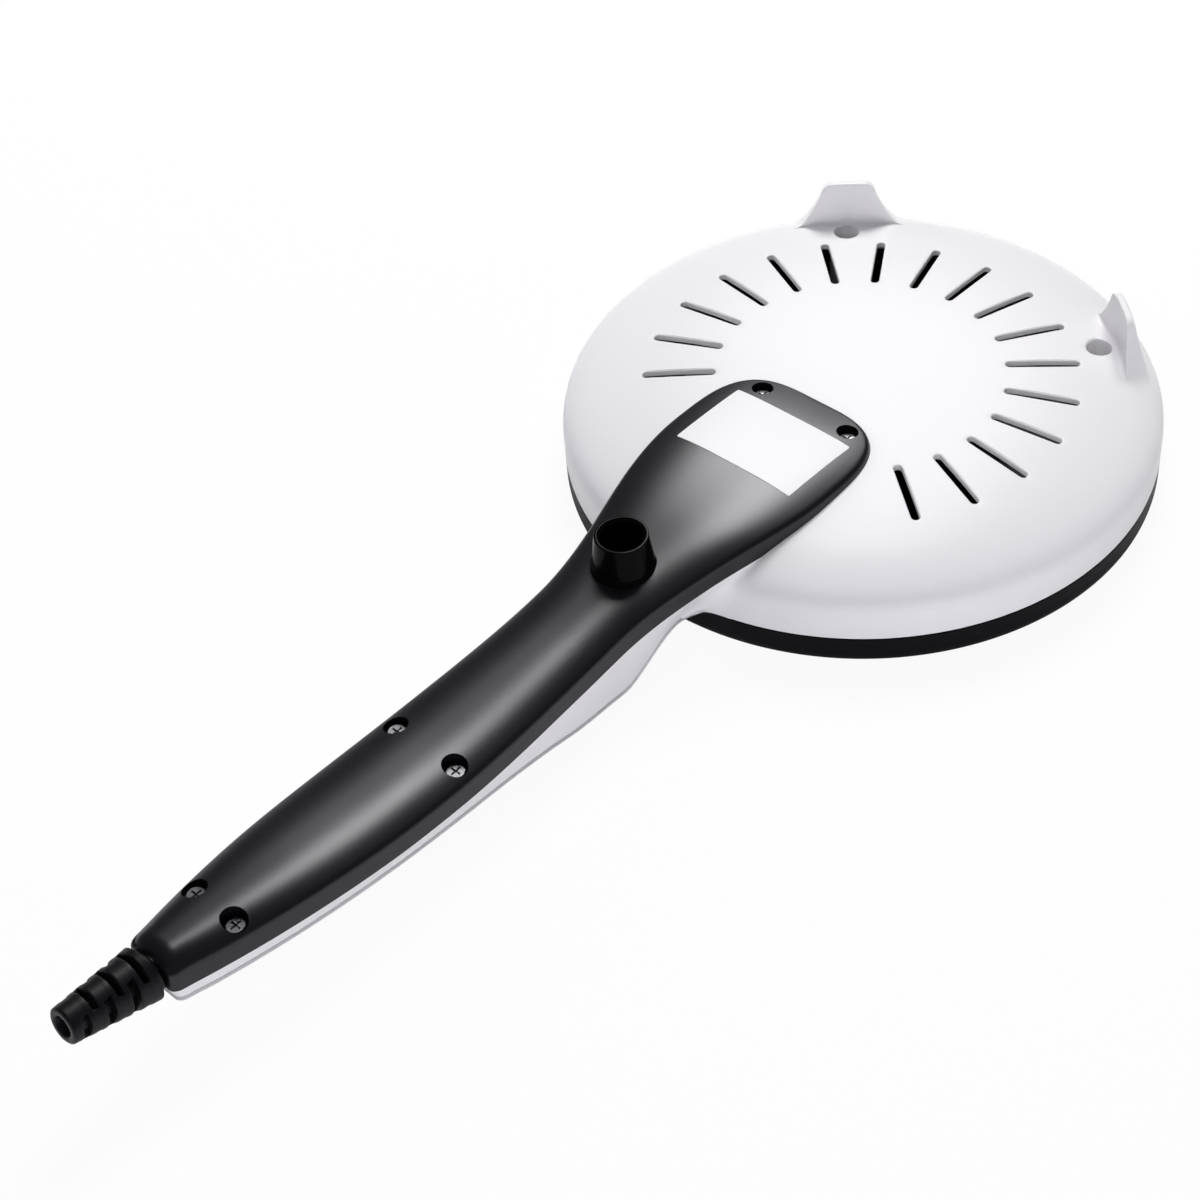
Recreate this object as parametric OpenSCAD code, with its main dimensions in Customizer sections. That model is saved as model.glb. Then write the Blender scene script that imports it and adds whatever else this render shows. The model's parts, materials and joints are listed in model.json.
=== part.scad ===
// Hand-held electric crepe maker, lying on its cooking plate with its underside up.
// The origin is the centre of the plate's flat cooking face. The handle points along -X.
// Inside the modules heights are counted from the rim plane, where the white shell meets the plate.
// Places along the handle are distances s from the plate's axis, so x = -s.

/* [Shell] */
// Radius of the round shell and of the plate
shell_r = 105; // [98:1:115]
// Height of the shell's top above its rim
shell_h = 26.2; // [24.5:0.1:28]
// Height of the upright side wall under the shell's curve
shell_edge_h = 7; // [5:0.5:9]
// Wall of the white moulding
shell_wall = 2.2; // [1.8:0.1:2.8]
// Gap between the shell's lip and the plate's rim
lip_gap = 0.3; // [0.2:0.1:0.5]

/* [Slots] */
// Number of air slots
slot_count = 17; // [13:2:17]
// Angle from slot to slot
slot_pitch = 16; // [14:0.5:16.5]
// Radius at the slots' inner ends
slot_in_r = 50.3; // [46:0.1:56]
// Radius at the slots' outer ends
slot_out_r = 76.1; // [70:0.1:78]
// Slot width
slot_w = 3; // [2:0.1:3.6]

/* [Stand feet] */
// Height of the three feet above the rim
foot_h = 39.6; // [38:0.1:44]
// Angle of each fin foot from the X axis
fin_angle = 40.7; // [36:0.1:44]
// Radius at the middle of a fin's tip
fin_r = 92.7; // [91:0.1:94]
// Width of a fin's tip
fin_w = 17.4; // [14:0.1:20]
// Thickness of a fin's tip
fin_t = 2.6; // [2:0.1:3.2]
// Lean of a fin's sides, in width per height
fin_lean = 0.4; // [0.2:0.02:0.45]
// Extra half width of a fin where it flares into the shell
fin_flare = 7; // [4:0.5:8]
// Distance of the hollow rear foot from the plate's axis
rear_foot_s = 123.2; // [119:0.1:127]
// Outer radius of the rear foot's rim
rear_foot_r = 8.9; // [8.4:0.1:9.6]
// Outer radius of the rear foot at the cover
rear_foot_base_r = 10.9; // [10.4:0.1:12]
// Radius of the rear foot's bore
rear_bore_r = 7.1; // [6:0.1:7.2]

/* [Handle outline] */
// Half width of the wide end over the shell
wide_half_w = 33.4; // [31:0.1:36]
// Half width of the neck
neck_half_w = 18.3; // [17.8:0.1:20]
// Half width of the grip
grip_half_w = 19.9; // [19:0.1:22]
// Half width at the cord end
tip_half_w = 9.6; // [9.2:0.1:11]
// Distance from the plate's axis to the wide end
wide_end_s = 23.4; // [22:0.1:25]
// Distance to the widest place of the wide end
wide_s = 60; // [56:0.5:64]
// Distance to the neck
neck_s = 146; // [142:0.5:149]
// Distance to the thickest place of the grip
grip_s = 222; // [218:0.5:226]
// Distance to the handle's cord end
tip_s = 325; // [322:0.5:332]
// Wall of the black cover
cover_wall = 2.2; // [1.8:0.1:2.6]

/* [Plate] */
// Depth of the plate's side band
band_h = 10; // [9:0.1:11]
// Crown of the plate below its side band
crown_h = 1.5; // [1:0.1:2.5]
// Radius of the plate's flat face
flat_r = 84; // [75:1:90]
// Thickness of the plate's metal
plate_t = 3; // [2.5:0.1:3.5]
// Thickness of the plate's side band
rim_t = 2.6; // [2:0.1:2.8]
// Radius of the rounded edge of the band
band_edge_r = 2.2; // [1.5:0.1:3]
// Radius at which the plate screws stand
post_r = 84.8; // [82:0.1:86]
// Angle of the two front plate screws from the X axis
post_angle = 41.3; // [38:0.1:44]
// Radius of the plate screws' recesses in the shell
recess_r = 4.5; // [4.3:0.1:4.8]

/* [Heater] */
// Radius of the heating ring
element_r = 62; // [58:0.5:66]
// Radius of the heater's tube
element_tube_r = 3.1; // [2.8:0.1:3.2]
// Half angle of the ring's gap, towards the handle
element_gap = 15; // [13:0.5:18]
// Radius of the thermostat's cap
thermostat_r = 8.2; // [7.8:0.1:8.6]
// Half distance between the bracket screws
bracket_half = 13.5; // [13:0.1:14.5]
// Thickness of the heat shield
shield_t = 0.6; // [0.5:0.1:0.8]

/* [Cover screws] */
// Radius of the screws' counterbores
counterbore_r = 3.75; // [3.5:0.05:4]
// Depth of the screw heads' tops below the cover's face
head_depth = 3.7; // [3.2:0.1:4]
// Radius of a screw's head
head_r = 2.8; // [2.5:0.1:3]
// Length of a cover screw's shank
shank_l = 9; // [8:0.5:10]

/* [Label] */
// Size of the blank label along the handle
label_l = 32.3; // [28:0.1:34]
// Size of the blank label across the handle
label_w = 48.7; // [44:0.1:50]
// Distance from the plate's axis to the label
label_s = 36.6; // [36:0.1:39]

/* [Switch] */
// Distance from the plate's axis to the rocker switch
switch_s = 166; // [165:0.5:168]
// Length of the switch's frame
switch_l = 21; // [20:0.1:22]
// Width of the switch's frame
switch_w = 15; // [14.6:0.1:16]
// Full turn of the rocker
rocker_turn = 16; // [12:1:16]
// Distance to the pilot lamp
lamp_s = 194; // [191:0.5:196]
// Radius of the pilot lamp's lens
lens_r = 2.5; // [2:0.1:2.8]

/* [Cord end] */
// Height of the strain relief's axis above the rim at the handle's end
relief_z = 20.4; // [20:0.1:20.8]
// Angle at which the strain relief rises
relief_tilt = 10; // [8:0.1:11]
// Length of the strain relief outside the handle
relief_l = 30.5; // [28:0.5:34]
// Radius of the strain relief at the handle
relief_r = 9.2; // [8.5:0.1:9.5]
// Radius of the strain relief at its free end
relief_end_r = 5.8; // [5.5:0.1:6.5]
// Radius of the bore for the cord
cord_bore_r = 3.3; // [3:0.1:3.4]
// Number of slots along the strain relief
relief_slots = 6; // [4:1:6]

/* [Hidden] */
$fn = 64;
// A small run-through for cuts
e = 0.5;
// Radial clearance of a screw in its thread and in a plain hole, of a hinge stub and of loose pieces
thread_gap = 0.05;
hole_gap = 0.15;
stub_gap = 0.08;
loose_gap = 0.3;
plate_depth = band_h + crown_h;

// ---- The round shell's surface ----
dome_power_r = 4.26;
dome_power_z = 3.25;
function dome_z(r) = shell_edge_h
    + (shell_h - shell_edge_h) * pow(1 - pow(min(r / shell_r, 1), dome_power_r), 1 / dome_power_z);

// ---- Smooth curves through [distance, value] stations ----
function slope_at(p, i) =
    let (a = max(i - 1, 0), b = min(i + 1, len(p) - 1)) (p[b][1] - p[a][1]) / (p[b][0] - p[a][0]);
function span_of(p, s, i = 0) = (i >= len(p) - 2 || s <= p[i + 1][0]) ? i : span_of(p, s, i + 1);
function curve(p, s) =
    let (
        i = span_of(p, s), a = p[i], b = p[i + 1], h = b[0] - a[0], t = (s - a[0]) / h,
        ma = slope_at(p, i) * h, mb = slope_at(p, i + 1) * h
    )
    a[1] * (2 * t ^ 3 - 3 * t ^ 2 + 1) + ma * (t ^ 3 - 2 * t ^ 2 + t)
    + b[1] * (3 * t ^ 2 - 2 * t ^ 3) + mb * (t ^ 3 - t ^ 2);
function ease(t) = let (u = min(max(t, 0), 1)) u * u * (3 - 2 * u);
function blend(a, b, t) = a + (b - a) * ease(t);

// ---- The handle's outline and heights, all against the distance s ----
// Half width: a rounded wide end, a waist at the neck, the grip and the taper to the cord
end_power = 3;
taper_power = 2.36;
function half_w(s, inset = 0) =
    s < wide_s ? (wide_half_w - inset)
        * pow(max(1 - pow((wide_s - s) / (wide_s - wide_end_s - inset), end_power), 0), 1 / end_power)
    : s < neck_s ? blend(wide_half_w, neck_half_w, (s - wide_s) / (neck_s - wide_s)) - inset
    : s < grip_s ? blend(neck_half_w, grip_half_w, (s - neck_s) / (grip_s - neck_s)) - inset
    : grip_half_w - inset - (grip_half_w - tip_half_w) * pow((s - grip_s) / (tip_s - grip_s), taper_power);

// Height of the line where the cover meets the white moulding
seam_line = [[20, 21.5], [70, 22], [100, 20.4], [120, 17.4], [142, 14.0], [165, 11.7], [205, 9.9],
    [240, 10.9], [280, 14], [325, 17.3]];
function seam_z(s) = curve(seam_line, s);
// Height of the cover's top along the middle
top_line = [[20, 29.2], [37, 30.0], [69, 31.2], [95, 30.4], [123, 27.2], [160, 22.9], [205, 20.7],
    [240, 21.8], [280, 25], [325, 28.4]];
function top_z(s) = curve(top_line, s);
// Height of the white moulding's lowest line
keel_line = [[70, -0.5], [104, -0.4], [110, 1.5], [116, 3.6], [122, 3.4], [129, 0.4], [135, -4.0],
    [141, -7.4], [150, -7.4], [165, -6.4], [180, -3.6], [200, -0.8], [240, 2.5], [280, 6], [325, 10]];
function keel_z(s) = curve(keel_line, s);
// Roundness of the cover's section, squarer over the shell
function cover_power(s) = blend(6, 4, (s - 100) / 50);
function cover_z(s, y) = seam_z(s)
    + (top_z(s) - seam_z(s)) * pow(max(1 - pow(abs(y) / half_w(s), cover_power(s)), 0), 1 / cover_power(s));
// Section of the white trough: a slight draft down to rounded lower edges
keel_draft = 0.97;
rim_draft = 0.66;
function draft(s) = blend(rim_draft, keel_draft, (s - shell_r) / 28);
keel_edge_r = 2.5;
keel_belly = 0.4;

// ---- Rings and swept solids ----
ring_steps = 8;
edge_steps = 4;
function mirrored_half(half) = concat(half, [for (i = [len(half) - 1:-1:0]) if (half[i][1] > 0)
    [half[i][0], -half[i][1], half[i][2]]]);
// One ring of the cover: its flat side at base, pushed down by over, its crown at crest
function cover_ring(s, w, base, crest, over) =
    let (n = cover_power(s), crown = [for (i = [0:ring_steps])
        let (u = i == ring_steps ? 0 : cos(90 * i / ring_steps))
        [-s, w * u, base + (crest - base) * pow(1 - pow(u, n), 1 / n)]])
    mirrored_half(over > 0 ? concat([[-s, w, base - over]], crown) : crown);
// One ring of the trough: its flat side at base, pushed up by over, its keel at bottom
function trough_ring(s, w, base, bottom, over) =
    let (low = w * draft(s), r = keel_edge_r,
        half = concat([[-s, w, base]],
            [for (i = [0:edge_steps]) let (a = 90 * i / edge_steps)
                [-s, low - r + r * cos(a), bottom + keel_belly + r - r * sin(a)]],
            [[-s, low / 2, bottom + keel_belly / 4], [-s, 0, bottom]]))
    mirrored_half(over > 0 ? concat([[-s, w, base + over]], half) : half);
module sweep(rings, upward) {
    n = len(rings[0]);
    m = len(rings);
    sides = [for (k = [0:m - 2], i = [0:n - 1]) let (a = k * n + i, b = k * n + (i + 1) % n) each
        [[a, b, a + n], [b, b + n, a + n]]];
    caps = [[for (i = [n - 1:-1:0]) i], [for (i = [0:n - 1]) (m - 1) * n + i]];
    faces = concat(sides, caps);
    turned = [for (f = faces) [for (i = [len(f) - 1:-1:0]) f[i]]];
    polyhedron(points = [for (r = rings) each r], faces = upward ? turned : faces, convexity = 8);
}
function steps(a, b, n) = [for (i = [0:n]) a + (b - a) * i / n];
// Distances for the cover's rings: close together where the ends round off
end_round = 4;
function cover_stations(inset) = concat(
    [for (t = [0.04, 0.35, 1.0, 2.2, 4, 6.5, 10, 15]) wide_end_s + inset + t],
    steps(wide_end_s + 21, tip_s - end_round - 4, 28),
    [for (t = [2.6, 1.2, 0.4, 0]) tip_s - inset - t]
);
// Share of its height that the cover keeps near its two rounded ends
function end_drop(s, inset) =
    let (near = min(s - wide_end_s - inset, tip_s - inset - s), u = max(1 - near / end_round, 0))
    end_round * (1 - sqrt(1 - u * u));
function tip_pull(s, inset) =
    let (u = max(1 - (tip_s - inset - s) / end_round, 0)) end_round * 0.6 * (1 - sqrt(1 - u * u));
module cover_solid(inset, over) {
    sweep([for (s = cover_stations(inset)) cover_ring(s, half_w(s, inset) - tip_pull(s, inset), seam_z(s),
        top_z(s) - inset - end_drop(s, inset) * (s > wide_s ? 0.5 : 1), over)], false);
}
trough_start_s = 72;
module trough_solid(inset, over) {
    start = trough_start_s + inset * 6;
    stations = concat([start], [for (s = cover_stations(inset)) if (s > start + 2) s]);
    sweep([for (s = stations) trough_ring(s, half_w(s, inset) - tip_pull(s, inset), seam_z(s),
        keel_z(s) + inset + tip_pull(s, inset) / 2, over)], true);
}

// ---- Places ----
module mirrored_pair() {
    children();
    mirror([0, 1, 0]) children();
}
module on_floor() translate([0, 0, plate_depth]) children();
// Plate screw posts: two under the open recesses, one under the cover
post_angles = [post_angle, -post_angle, 180];
module at_posts() for (a = post_angles) rotate(a) translate([post_r, 0, 0]) children();
// Cover screws: s and y
screw_places = [[30.6, 18.5], [215, 12.9], [299.5, 8.7]];
screw_head_h = 2;
seat_floor = 1.8;
function seat_z(p) = cover_z(p[0], p[1]) - head_depth - screw_head_h;
cover_tube_r = counterbore_r + 1.5;
screw_post_r = 3.3;
shank_r = 1.4;
cup_wall = 1.5;
cup_r = cover_tube_r + loose_gap + cup_wall;
// Middle of the keel at s, with -Z pointing out of the white moulding
module at_keel(s) {
    rise = (keel_z(s + 10) - keel_z(s - 10)) / 20;
    translate([-s, 0, keel_z(s)]) rotate([0, atan(rise), 0]) children();
}
// The strain relief's axis, with +Z pointing out along the cord
module at_relief() translate([-tip_s, 0, relief_z]) rotate([0, -90 + relief_tilt, 0]) children();

// ---- Plate heights ----
plate_in_z = -plate_depth + plate_t;
boss_r = 6.2;
boss_top = -1;
washer_t = 1.2;
post_floor = 3;
post_wall = 1.7;
post_out_r = recess_r + post_wall;
post_foot_z = boss_top + shield_t + washer_t;
plate_shank_r = 1.95;
small_boss_top = plate_in_z + 4.4;
earth_boss_r = 4;
earth_gap = 0.86;
earth_r = element_r - element_tube_r - earth_gap - earth_boss_r;
earth_place = -earth_r * [cos(39), sin(39)];
earth_top = boss_top + 2;

// ---- White moulding ----
module dome_profile(inset, drop) {
    n = 16;
    pts = [for (i = [0:n]) let (r = (shell_r - inset) * sin(90 * i / n)) [r,
        shell_edge_h + (shell_h - inset - shell_edge_h)
            * pow(max(1 - pow(r / (shell_r - inset), dome_power_r), 0), 1 / dome_power_z)]];
    polygon(concat([[0, -drop], [0, shell_h - inset]], [for (i = [1:n]) pts[i]],
        [[shell_r - inset, -drop]]));
}
module dome_solid(inset, drop) rotate_extrude($fn = 96) dome_profile(inset, drop);
// The gasket's section and the lip of the shell outside it
gasket_t = 1.4;
gasket_w = 1.6;
lip_wall = 1.1;
module slot_cuts() {
    for (i = [0:slot_count - 1]) rotate((i - (slot_count - 1) / 2) * slot_pitch)
        translate([0, 0, shell_edge_h]) linear_extrude(shell_h) {
            translate([slot_in_r + slot_w / 2, 0]) circle(d = slot_w, $fn = 24);
            translate([slot_out_r - slot_w / 2, 0]) circle(d = slot_w, $fn = 24);
            translate([slot_in_r + slot_w / 2, -slot_w / 2])
                square([slot_out_r - slot_in_r - slot_w, slot_w]);
        }
}
// A fin: its radial section turned round the axis, trimmed to a flared tab
fin_foot_z = 16.5;
fin_tip_round = 4;
fin_steps = 10;
fin_fillet = 3;
module fin_section() {
    out_r = fin_r + fin_t / 2;
    in_r = fin_r - fin_t / 2;
    tall = foot_h - shell_edge_h;
    polygon(concat([[out_r - 0.6, foot_h], [out_r, foot_h - 0.8],
        [out_r + 0.07 * tall, foot_h - 0.3 * tall], [out_r + 0.155 * tall, foot_h - 0.58 * tall],
        [shell_r - shell_wall, shell_edge_h + 5], [shell_r - shell_wall, shell_edge_h],
        [in_r - fin_fillet, shell_edge_h]],
        [for (a = [0:15:90]) let (r = in_r - fin_fillet + fin_fillet * sin(a))
            [r, dome_z(in_r - fin_fillet) - 0.3 + fin_fillet * (1 - cos(a))]],
        [[in_r, foot_h - 0.8], [in_r + 0.6, foot_h]]));
}
// Half width of a fin at height z: leaning sides that flare towards the foot
function fin_half(z) = let (d = foot_h - z)
    fin_w / 2 + fin_lean * d + fin_flare * pow(d / (foot_h - fin_foot_z), 3);
module fin_face() {
    corner_z = foot_h - fin_tip_round;
    side = [for (i = [0:fin_steps]) let (z = fin_foot_z + (corner_z - fin_foot_z) * i / fin_steps)
        [fin_half(z), z]];
    tip = [for (a = [15:15:90]) [fin_half(corner_z) - fin_tip_round + fin_tip_round * cos(a),
        corner_z + fin_tip_round * sin(a)]];
    half = concat([[side[0][0], fin_foot_z - 4]], side, tip);
    polygon(concat(half, [for (i = [len(half) - 1:-1:0]) [-half[i][0], half[i][1]]]));
}
module fins() {
    for (m = [-1, 1]) rotate(m * fin_angle) intersection() {
        rotate(-24) rotate_extrude(angle = 48, $fn = 128) fin_section();
        translate([70, 0, 0]) rotate([90, 0, 90]) linear_extrude(50) fin_face();
    }
}
wire_opening_s = [44, 76];
wire_opening_half_w = 20;
// Passage for the leads through the dome's side wall into the handle
lead_passage = [14, 30, 12];
lead_passage_z = 5;
module shell_outside() {
    dome_solid(0, 0);
    difference() {
        trough_solid(0, 0);
        trough_solid(shell_wall, 4);
    }
    fins();
}
relief_neck_r = 4.8;
relief_flange_r = 5.8;
switch_floor = 0.9;
switch_bezel_t = 1.6;
panel_gap = 0.2;
module centred_cut(l, w, foot, h) translate([-l / 2 - panel_gap, -w / 2 - panel_gap, foot])
    cube([l + 2 * panel_gap, w + 2 * panel_gap, h]);
module switch_cuts() at_keel(switch_s) {
    centred_cut(switch_l, switch_w, -4, 4 + switch_floor);
    centred_cut(switch_body_l, switch_body_w, -4, 10);
}
switch_body_l = switch_l - 2.2;
switch_body_w = switch_w - 2.2;
module body_shell() color("whitesmoke") on_floor() {
    difference() {
        shell_outside();
        translate([0, 0, -e]) dome_solid(shell_wall, e);
        slot_cuts();
        translate([-wire_opening_s[1], -wire_opening_half_w, 10])
            cube([wire_opening_s[1] - wire_opening_s[0], 2 * wire_opening_half_w, 20]);
        translate([-shell_r - 4, -lead_passage[1] / 2, lead_passage_z]) cube(lead_passage);
        // Lip over the plate and step for the gasket
        translate([0, 0, -band_h]) cylinder(r = shell_r + 2 * loose_gap, h = band_h + lip_gap, $fn = 128);
        translate([0, 0, -e]) cylinder(r = shell_r - lip_wall, h = e + gasket_t, $fn = 128);
        at_posts() cylinder(r = recess_r, h = 40);
        for (p = screw_places) mirrored_pair() if (p[0] < wide_s)
            translate([-p[0], p[1], shell_edge_h]) cylinder(r = cup_r - 0.3, h = 30);
        at_relief() translate([0, 0, -12]) cylinder(r = relief_neck_r + 0.1, h = 20);
        switch_cuts();
        at_keel(lamp_s) translate([0, 0, -5]) cylinder(r = lens_r + 0.1, h = 10);
    }
    shell_posts();
    shell_screw_posts();
    clamp_posts();
    block_pillar();
}
// Tubes from the dome down to the plate's bosses
module shell_posts() at_posts() difference() {
    translate([0, 0, post_foot_z]) cylinder(r = post_out_r, h = dome_z(post_r + post_out_r) - post_foot_z);
    translate([0, 0, post_foot_z + post_floor]) cylinder(r = recess_r, h = 40);
    translate([0, 0, post_foot_z - e]) cylinder(r = plate_shank_r + hole_gap, h = 10);
}
// Posts that the cover screws turn into: cups in the dome, plain posts in the trough
module shell_screw_posts() for (p = screw_places) mirrored_pair() {
    top = seat_z(p) - seat_floor;
    translate([-p[0], p[1], 0]) {
        if (p[0] < wide_s) difference() {
            translate([0, 0, top - shank_l])
                cylinder(r = cup_r, h = dome_z(norm(p) + cup_r) - top + shank_l - 0.2);
            translate([0, 0, top]) cylinder(r = cover_tube_r + loose_gap, h = 30);
            translate([0, 0, top - shank_l + 1]) cylinder(r = shank_r + thread_gap, h = 30);
        }
        else difference() {
            foot = keel_z(p[0]) + keel_edge_r + keel_belly;
            translate([0, 0, foot]) cylinder(r = screw_post_r, h = top - foot);
            translate([0, 0, top - shank_l + 1]) cylinder(r = shank_r + thread_gap, h = 30);
        }
    }
}

// ---- Black cover ----
module cover_holes() for (p = screw_places) mirrored_pair() translate([-p[0], p[1], seat_z(p)]) {
    cylinder(r = counterbore_r, h = 20);
    translate([0, 0, -seat_floor - e]) cylinder(r = shank_r + 0.3, h = 10);
}
foot_spigot_r = rear_foot_r - 0.2;
module handle_cover() color([0.09, 0.09, 0.1]) on_floor() difference() {
    union() {
        difference() {
            cover_solid(0, 0);
            cover_solid(cover_wall, 6);
            dome_solid(0, 0);
        }
        intersection() {
            for (p = screw_places) mirrored_pair() translate([-p[0], p[1], seat_z(p) - seat_floor])
                cylinder(r = cover_tube_r, h = 30);
            cover_solid(0, 0);
        }
    }
    cover_holes();
    translate([-rear_foot_s, 0, 10]) cylinder(r = foot_spigot_r + 0.1, h = 40);
    at_relief() translate([0, 0, -12]) cylinder(r = relief_neck_r + 0.1, h = 20);
}
// The hollow rear foot: a tapered tube on the cover, its spigot through the cover's hole
spigot_l = 4.5;
foot_root = 3;
module rear_foot() color([0.03, 0.03, 0.03]) on_floor() {
    base = top_z(rear_foot_s);
    root_flare = (rear_foot_base_r - rear_foot_r) * foot_root / (foot_h - base);
    difference() {
        union() {
            difference() {
                translate([-rear_foot_s, 0, base - foot_root])
                    cylinder(r1 = rear_foot_base_r + root_flare, r2 = rear_foot_r,
                        h = foot_h - base + foot_root);
                cover_solid(0, 0);
            }
            translate([-rear_foot_s, 0, base - spigot_l])
                cylinder(r = foot_spigot_r, h = foot_h - base + spigot_l);
        }
        translate([-rear_foot_s, 0, base - spigot_l + 1.5]) cylinder(r = rear_bore_r, h = 40);
    }
}
module rating_label() color("white") on_floor() intersection() {
    difference() {
        translate([0, 0, 0.2]) cover_solid(0, 0);
        cover_solid(0, 0);
    }
    translate([-label_s - label_l, -label_w / 2, 20]) cube([label_l, label_w, 20]);
}
module cross_head(r, h) difference() {
    cylinder(r = r, h = h, $fn = 32);
    for (a = [0, 90]) rotate(a) translate([-0.7 * r, -0.35, 0.45 * h]) cube([1.4 * r, 0.7, h]);
}
module cover_screws() color("silver") on_floor() for (p = screw_places) mirrored_pair()
    translate([-p[0], p[1], seat_z(p)]) {
        cross_head(head_r, screw_head_h);
        translate([0, 0, -shank_l + 1]) cylinder(r = shank_r, h = shank_l - 1, $fn = 32);
    }

// ---- Cooking plate ----
module cooking_plate() color([0.08, 0.08, 0.08]) on_floor() {
    edge = [shell_r - band_edge_r, band_edge_r - band_h];
    rotate_extrude($fn = 128) {
        polygon([[0, -plate_depth], [flat_r, -plate_depth], [edge[0], -band_h], edge, [shell_r, edge[1]],
            [shell_r, 0], [shell_r - rim_t, 0], [shell_r - rim_t, plate_in_z], [0, plate_in_z]]);
        translate(edge) intersection() {
            circle(r = band_edge_r);
            translate([0, -band_edge_r]) square(band_edge_r);
        }
    }
    at_posts() tapped_boss(boss_r, boss_top, plate_shank_r + thread_gap);
    for (m = [-1, 1]) translate([0, m * bracket_half, 0])
        tapped_boss(3.6, small_boss_top, m3_r + thread_gap);
    translate([fuse_x, fuse_boss_y, 0]) tapped_boss(3.2, small_boss_top, m3_r + thread_gap);
    translate(earth_place) tapped_boss(earth_boss_r, earth_top, plate_shank_r + thread_gap);
    // Saddle of two low ridges beside the heating ring
    for (r = [element_r - tail_r - 0.2 - ridge_w, element_r + tail_r + 0.2]) rotate_extrude($fn = 128)
        translate([r, plate_in_z - 0.2]) square([ridge_w, 2.2]);
}
ridge_w = 1.5;
m3_r = 1.45;
module tapped_boss(r, top, bore) difference() {
    translate([0, 0, plate_in_z - 0.2]) cylinder(r = r, h = top - plate_in_z + 0.2);
    translate([0, 0, plate_in_z + 0.6]) cylinder(r = bore, h = 30);
}
module rim_gasket() color("dimgray") on_floor() rotate_extrude($fn = 128)
    translate([shell_r - lip_wall - gasket_w - thread_gap, 0]) square([gasket_w, gasket_t]);

// ---- Heater and what is bolted to the plate ----
element_z = plate_in_z + element_tube_r + 0.05;
tail_top = 6;
tail_r = element_tube_r + 0.3;
module at_tails() for (m = [-1, 1]) rotate(180 + m * element_gap) translate([element_r, 0, 0]) children();
module heating_element() color("gray") on_floor() {
    rotate(180 + element_gap) rotate_extrude(angle = 360 - 2 * element_gap, $fn = 128)
        translate([element_r, element_z]) circle(r = element_tube_r, $fn = 24);
    at_tails() translate([0, 0, plate_in_z + 0.02]) cylinder(r = tail_r, h = tail_top - plate_in_z - 0.02);
}
pin_r = 1.2;
pin_top = tail_top + 7;
module element_seals() color("ivory") on_floor() at_tails() difference() {
    translate([0, 0, tail_top]) cylinder(r = tail_r + 0.5, h = 3, $fn = 32);
    translate([0, 0, tail_top - e]) cylinder(r = pin_r + thread_gap, h = 10, $fn = 24);
}
module element_pins() color("silver") on_floor() at_tails() translate([0, 0, tail_top])
    cylinder(r = pin_r, h = pin_top - tail_top, $fn = 24);
shield_gap = 4.4;
shield_r = shell_r - rim_t - shield_gap;
module heat_shield() color("lightgray") on_floor() difference() {
    translate([0, 0, boss_top]) cylinder(r = shield_r, h = shield_t, $fn = 128);
    translate([0, 0, boss_top - e]) {
        cylinder(r = bracket_half + 6, h = 5);
        at_posts() cylinder(r = plate_shank_r + 0.3, h = 5);
        at_tails() cylinder(r = tail_r + 1.2, h = 5);
        translate(earth_place) cylinder(r = 5.5, h = 5);
    }
}
module post_washers() color("tan") on_floor() at_posts() difference() {
    translate([0, 0, boss_top + shield_t]) cylinder(r = boss_r, h = washer_t);
    translate([0, 0, boss_top]) cylinder(r = plate_shank_r + 0.2, h = 5);
}
plate_head_r = 3.7;
module plate_screws() color("silver") on_floor() at_posts() translate([0, 0, post_foot_z + post_floor]) {
    cross_head(plate_head_r, 2.4);
    translate([0, 0, -(post_foot_z + post_floor) + plate_in_z + 1]) cylinder(r = plate_shank_r,
        h = post_foot_z + post_floor - plate_in_z - 1, $fn = 32);
}
thermostat_body_r = thermostat_r - 1.2;
thermostat_top = small_boss_top + 6.6;
// The thermostat's two push-on tabs
tab_h = 7;
tab_t = 0.8;
tab_w = 6.2;
tab_x = 4.5;
module thermostat() color("sienna") on_floor() {
    translate([0, 0, plate_in_z]) cylinder(r = thermostat_r, h = small_boss_top - plate_in_z);
    translate([0, 0, small_boss_top - 0.1])
        cylinder(r = thermostat_body_r, h = thermostat_top - small_boss_top + 0.1);
    for (m = [-1, 1]) translate([m * tab_x - tab_t / 2, -tab_w / 2, thermostat_top - e])
        cube([tab_t, tab_w, tab_h + e]);
}
bracket_t = 1;
module thermostat_bracket() color("silver") on_floor() translate([0, 0, small_boss_top]) difference() {
    union() {
        cylinder(r = thermostat_r + 1, h = bracket_t);
        translate([-4, -bracket_half, 0]) cube([8, 2 * bracket_half, bracket_t]);
        for (m = [-1, 1]) translate([0, m * bracket_half, 0]) cylinder(r = 4, h = bracket_t);
    }
    translate([0, 0, -e]) cylinder(r = thermostat_body_r + hole_gap, h = 5);
    for (m = [-1, 1]) translate([0, m * bracket_half, -e]) cylinder(r = m3_r + hole_gap, h = 5);
}
m3_head_h = 1.8;
module m3_screw(seat, foot) {
    translate([0, 0, seat]) cross_head(2.7, m3_head_h);
    translate([0, 0, foot]) cylinder(r = m3_r, h = seat - foot, $fn = 32);
}
module bracket_screws() color("silver") on_floor() for (m = [-1, 1])
    translate([0, m * bracket_half, 0]) m3_screw(small_boss_top + bracket_t, plate_in_z + 1);

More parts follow.
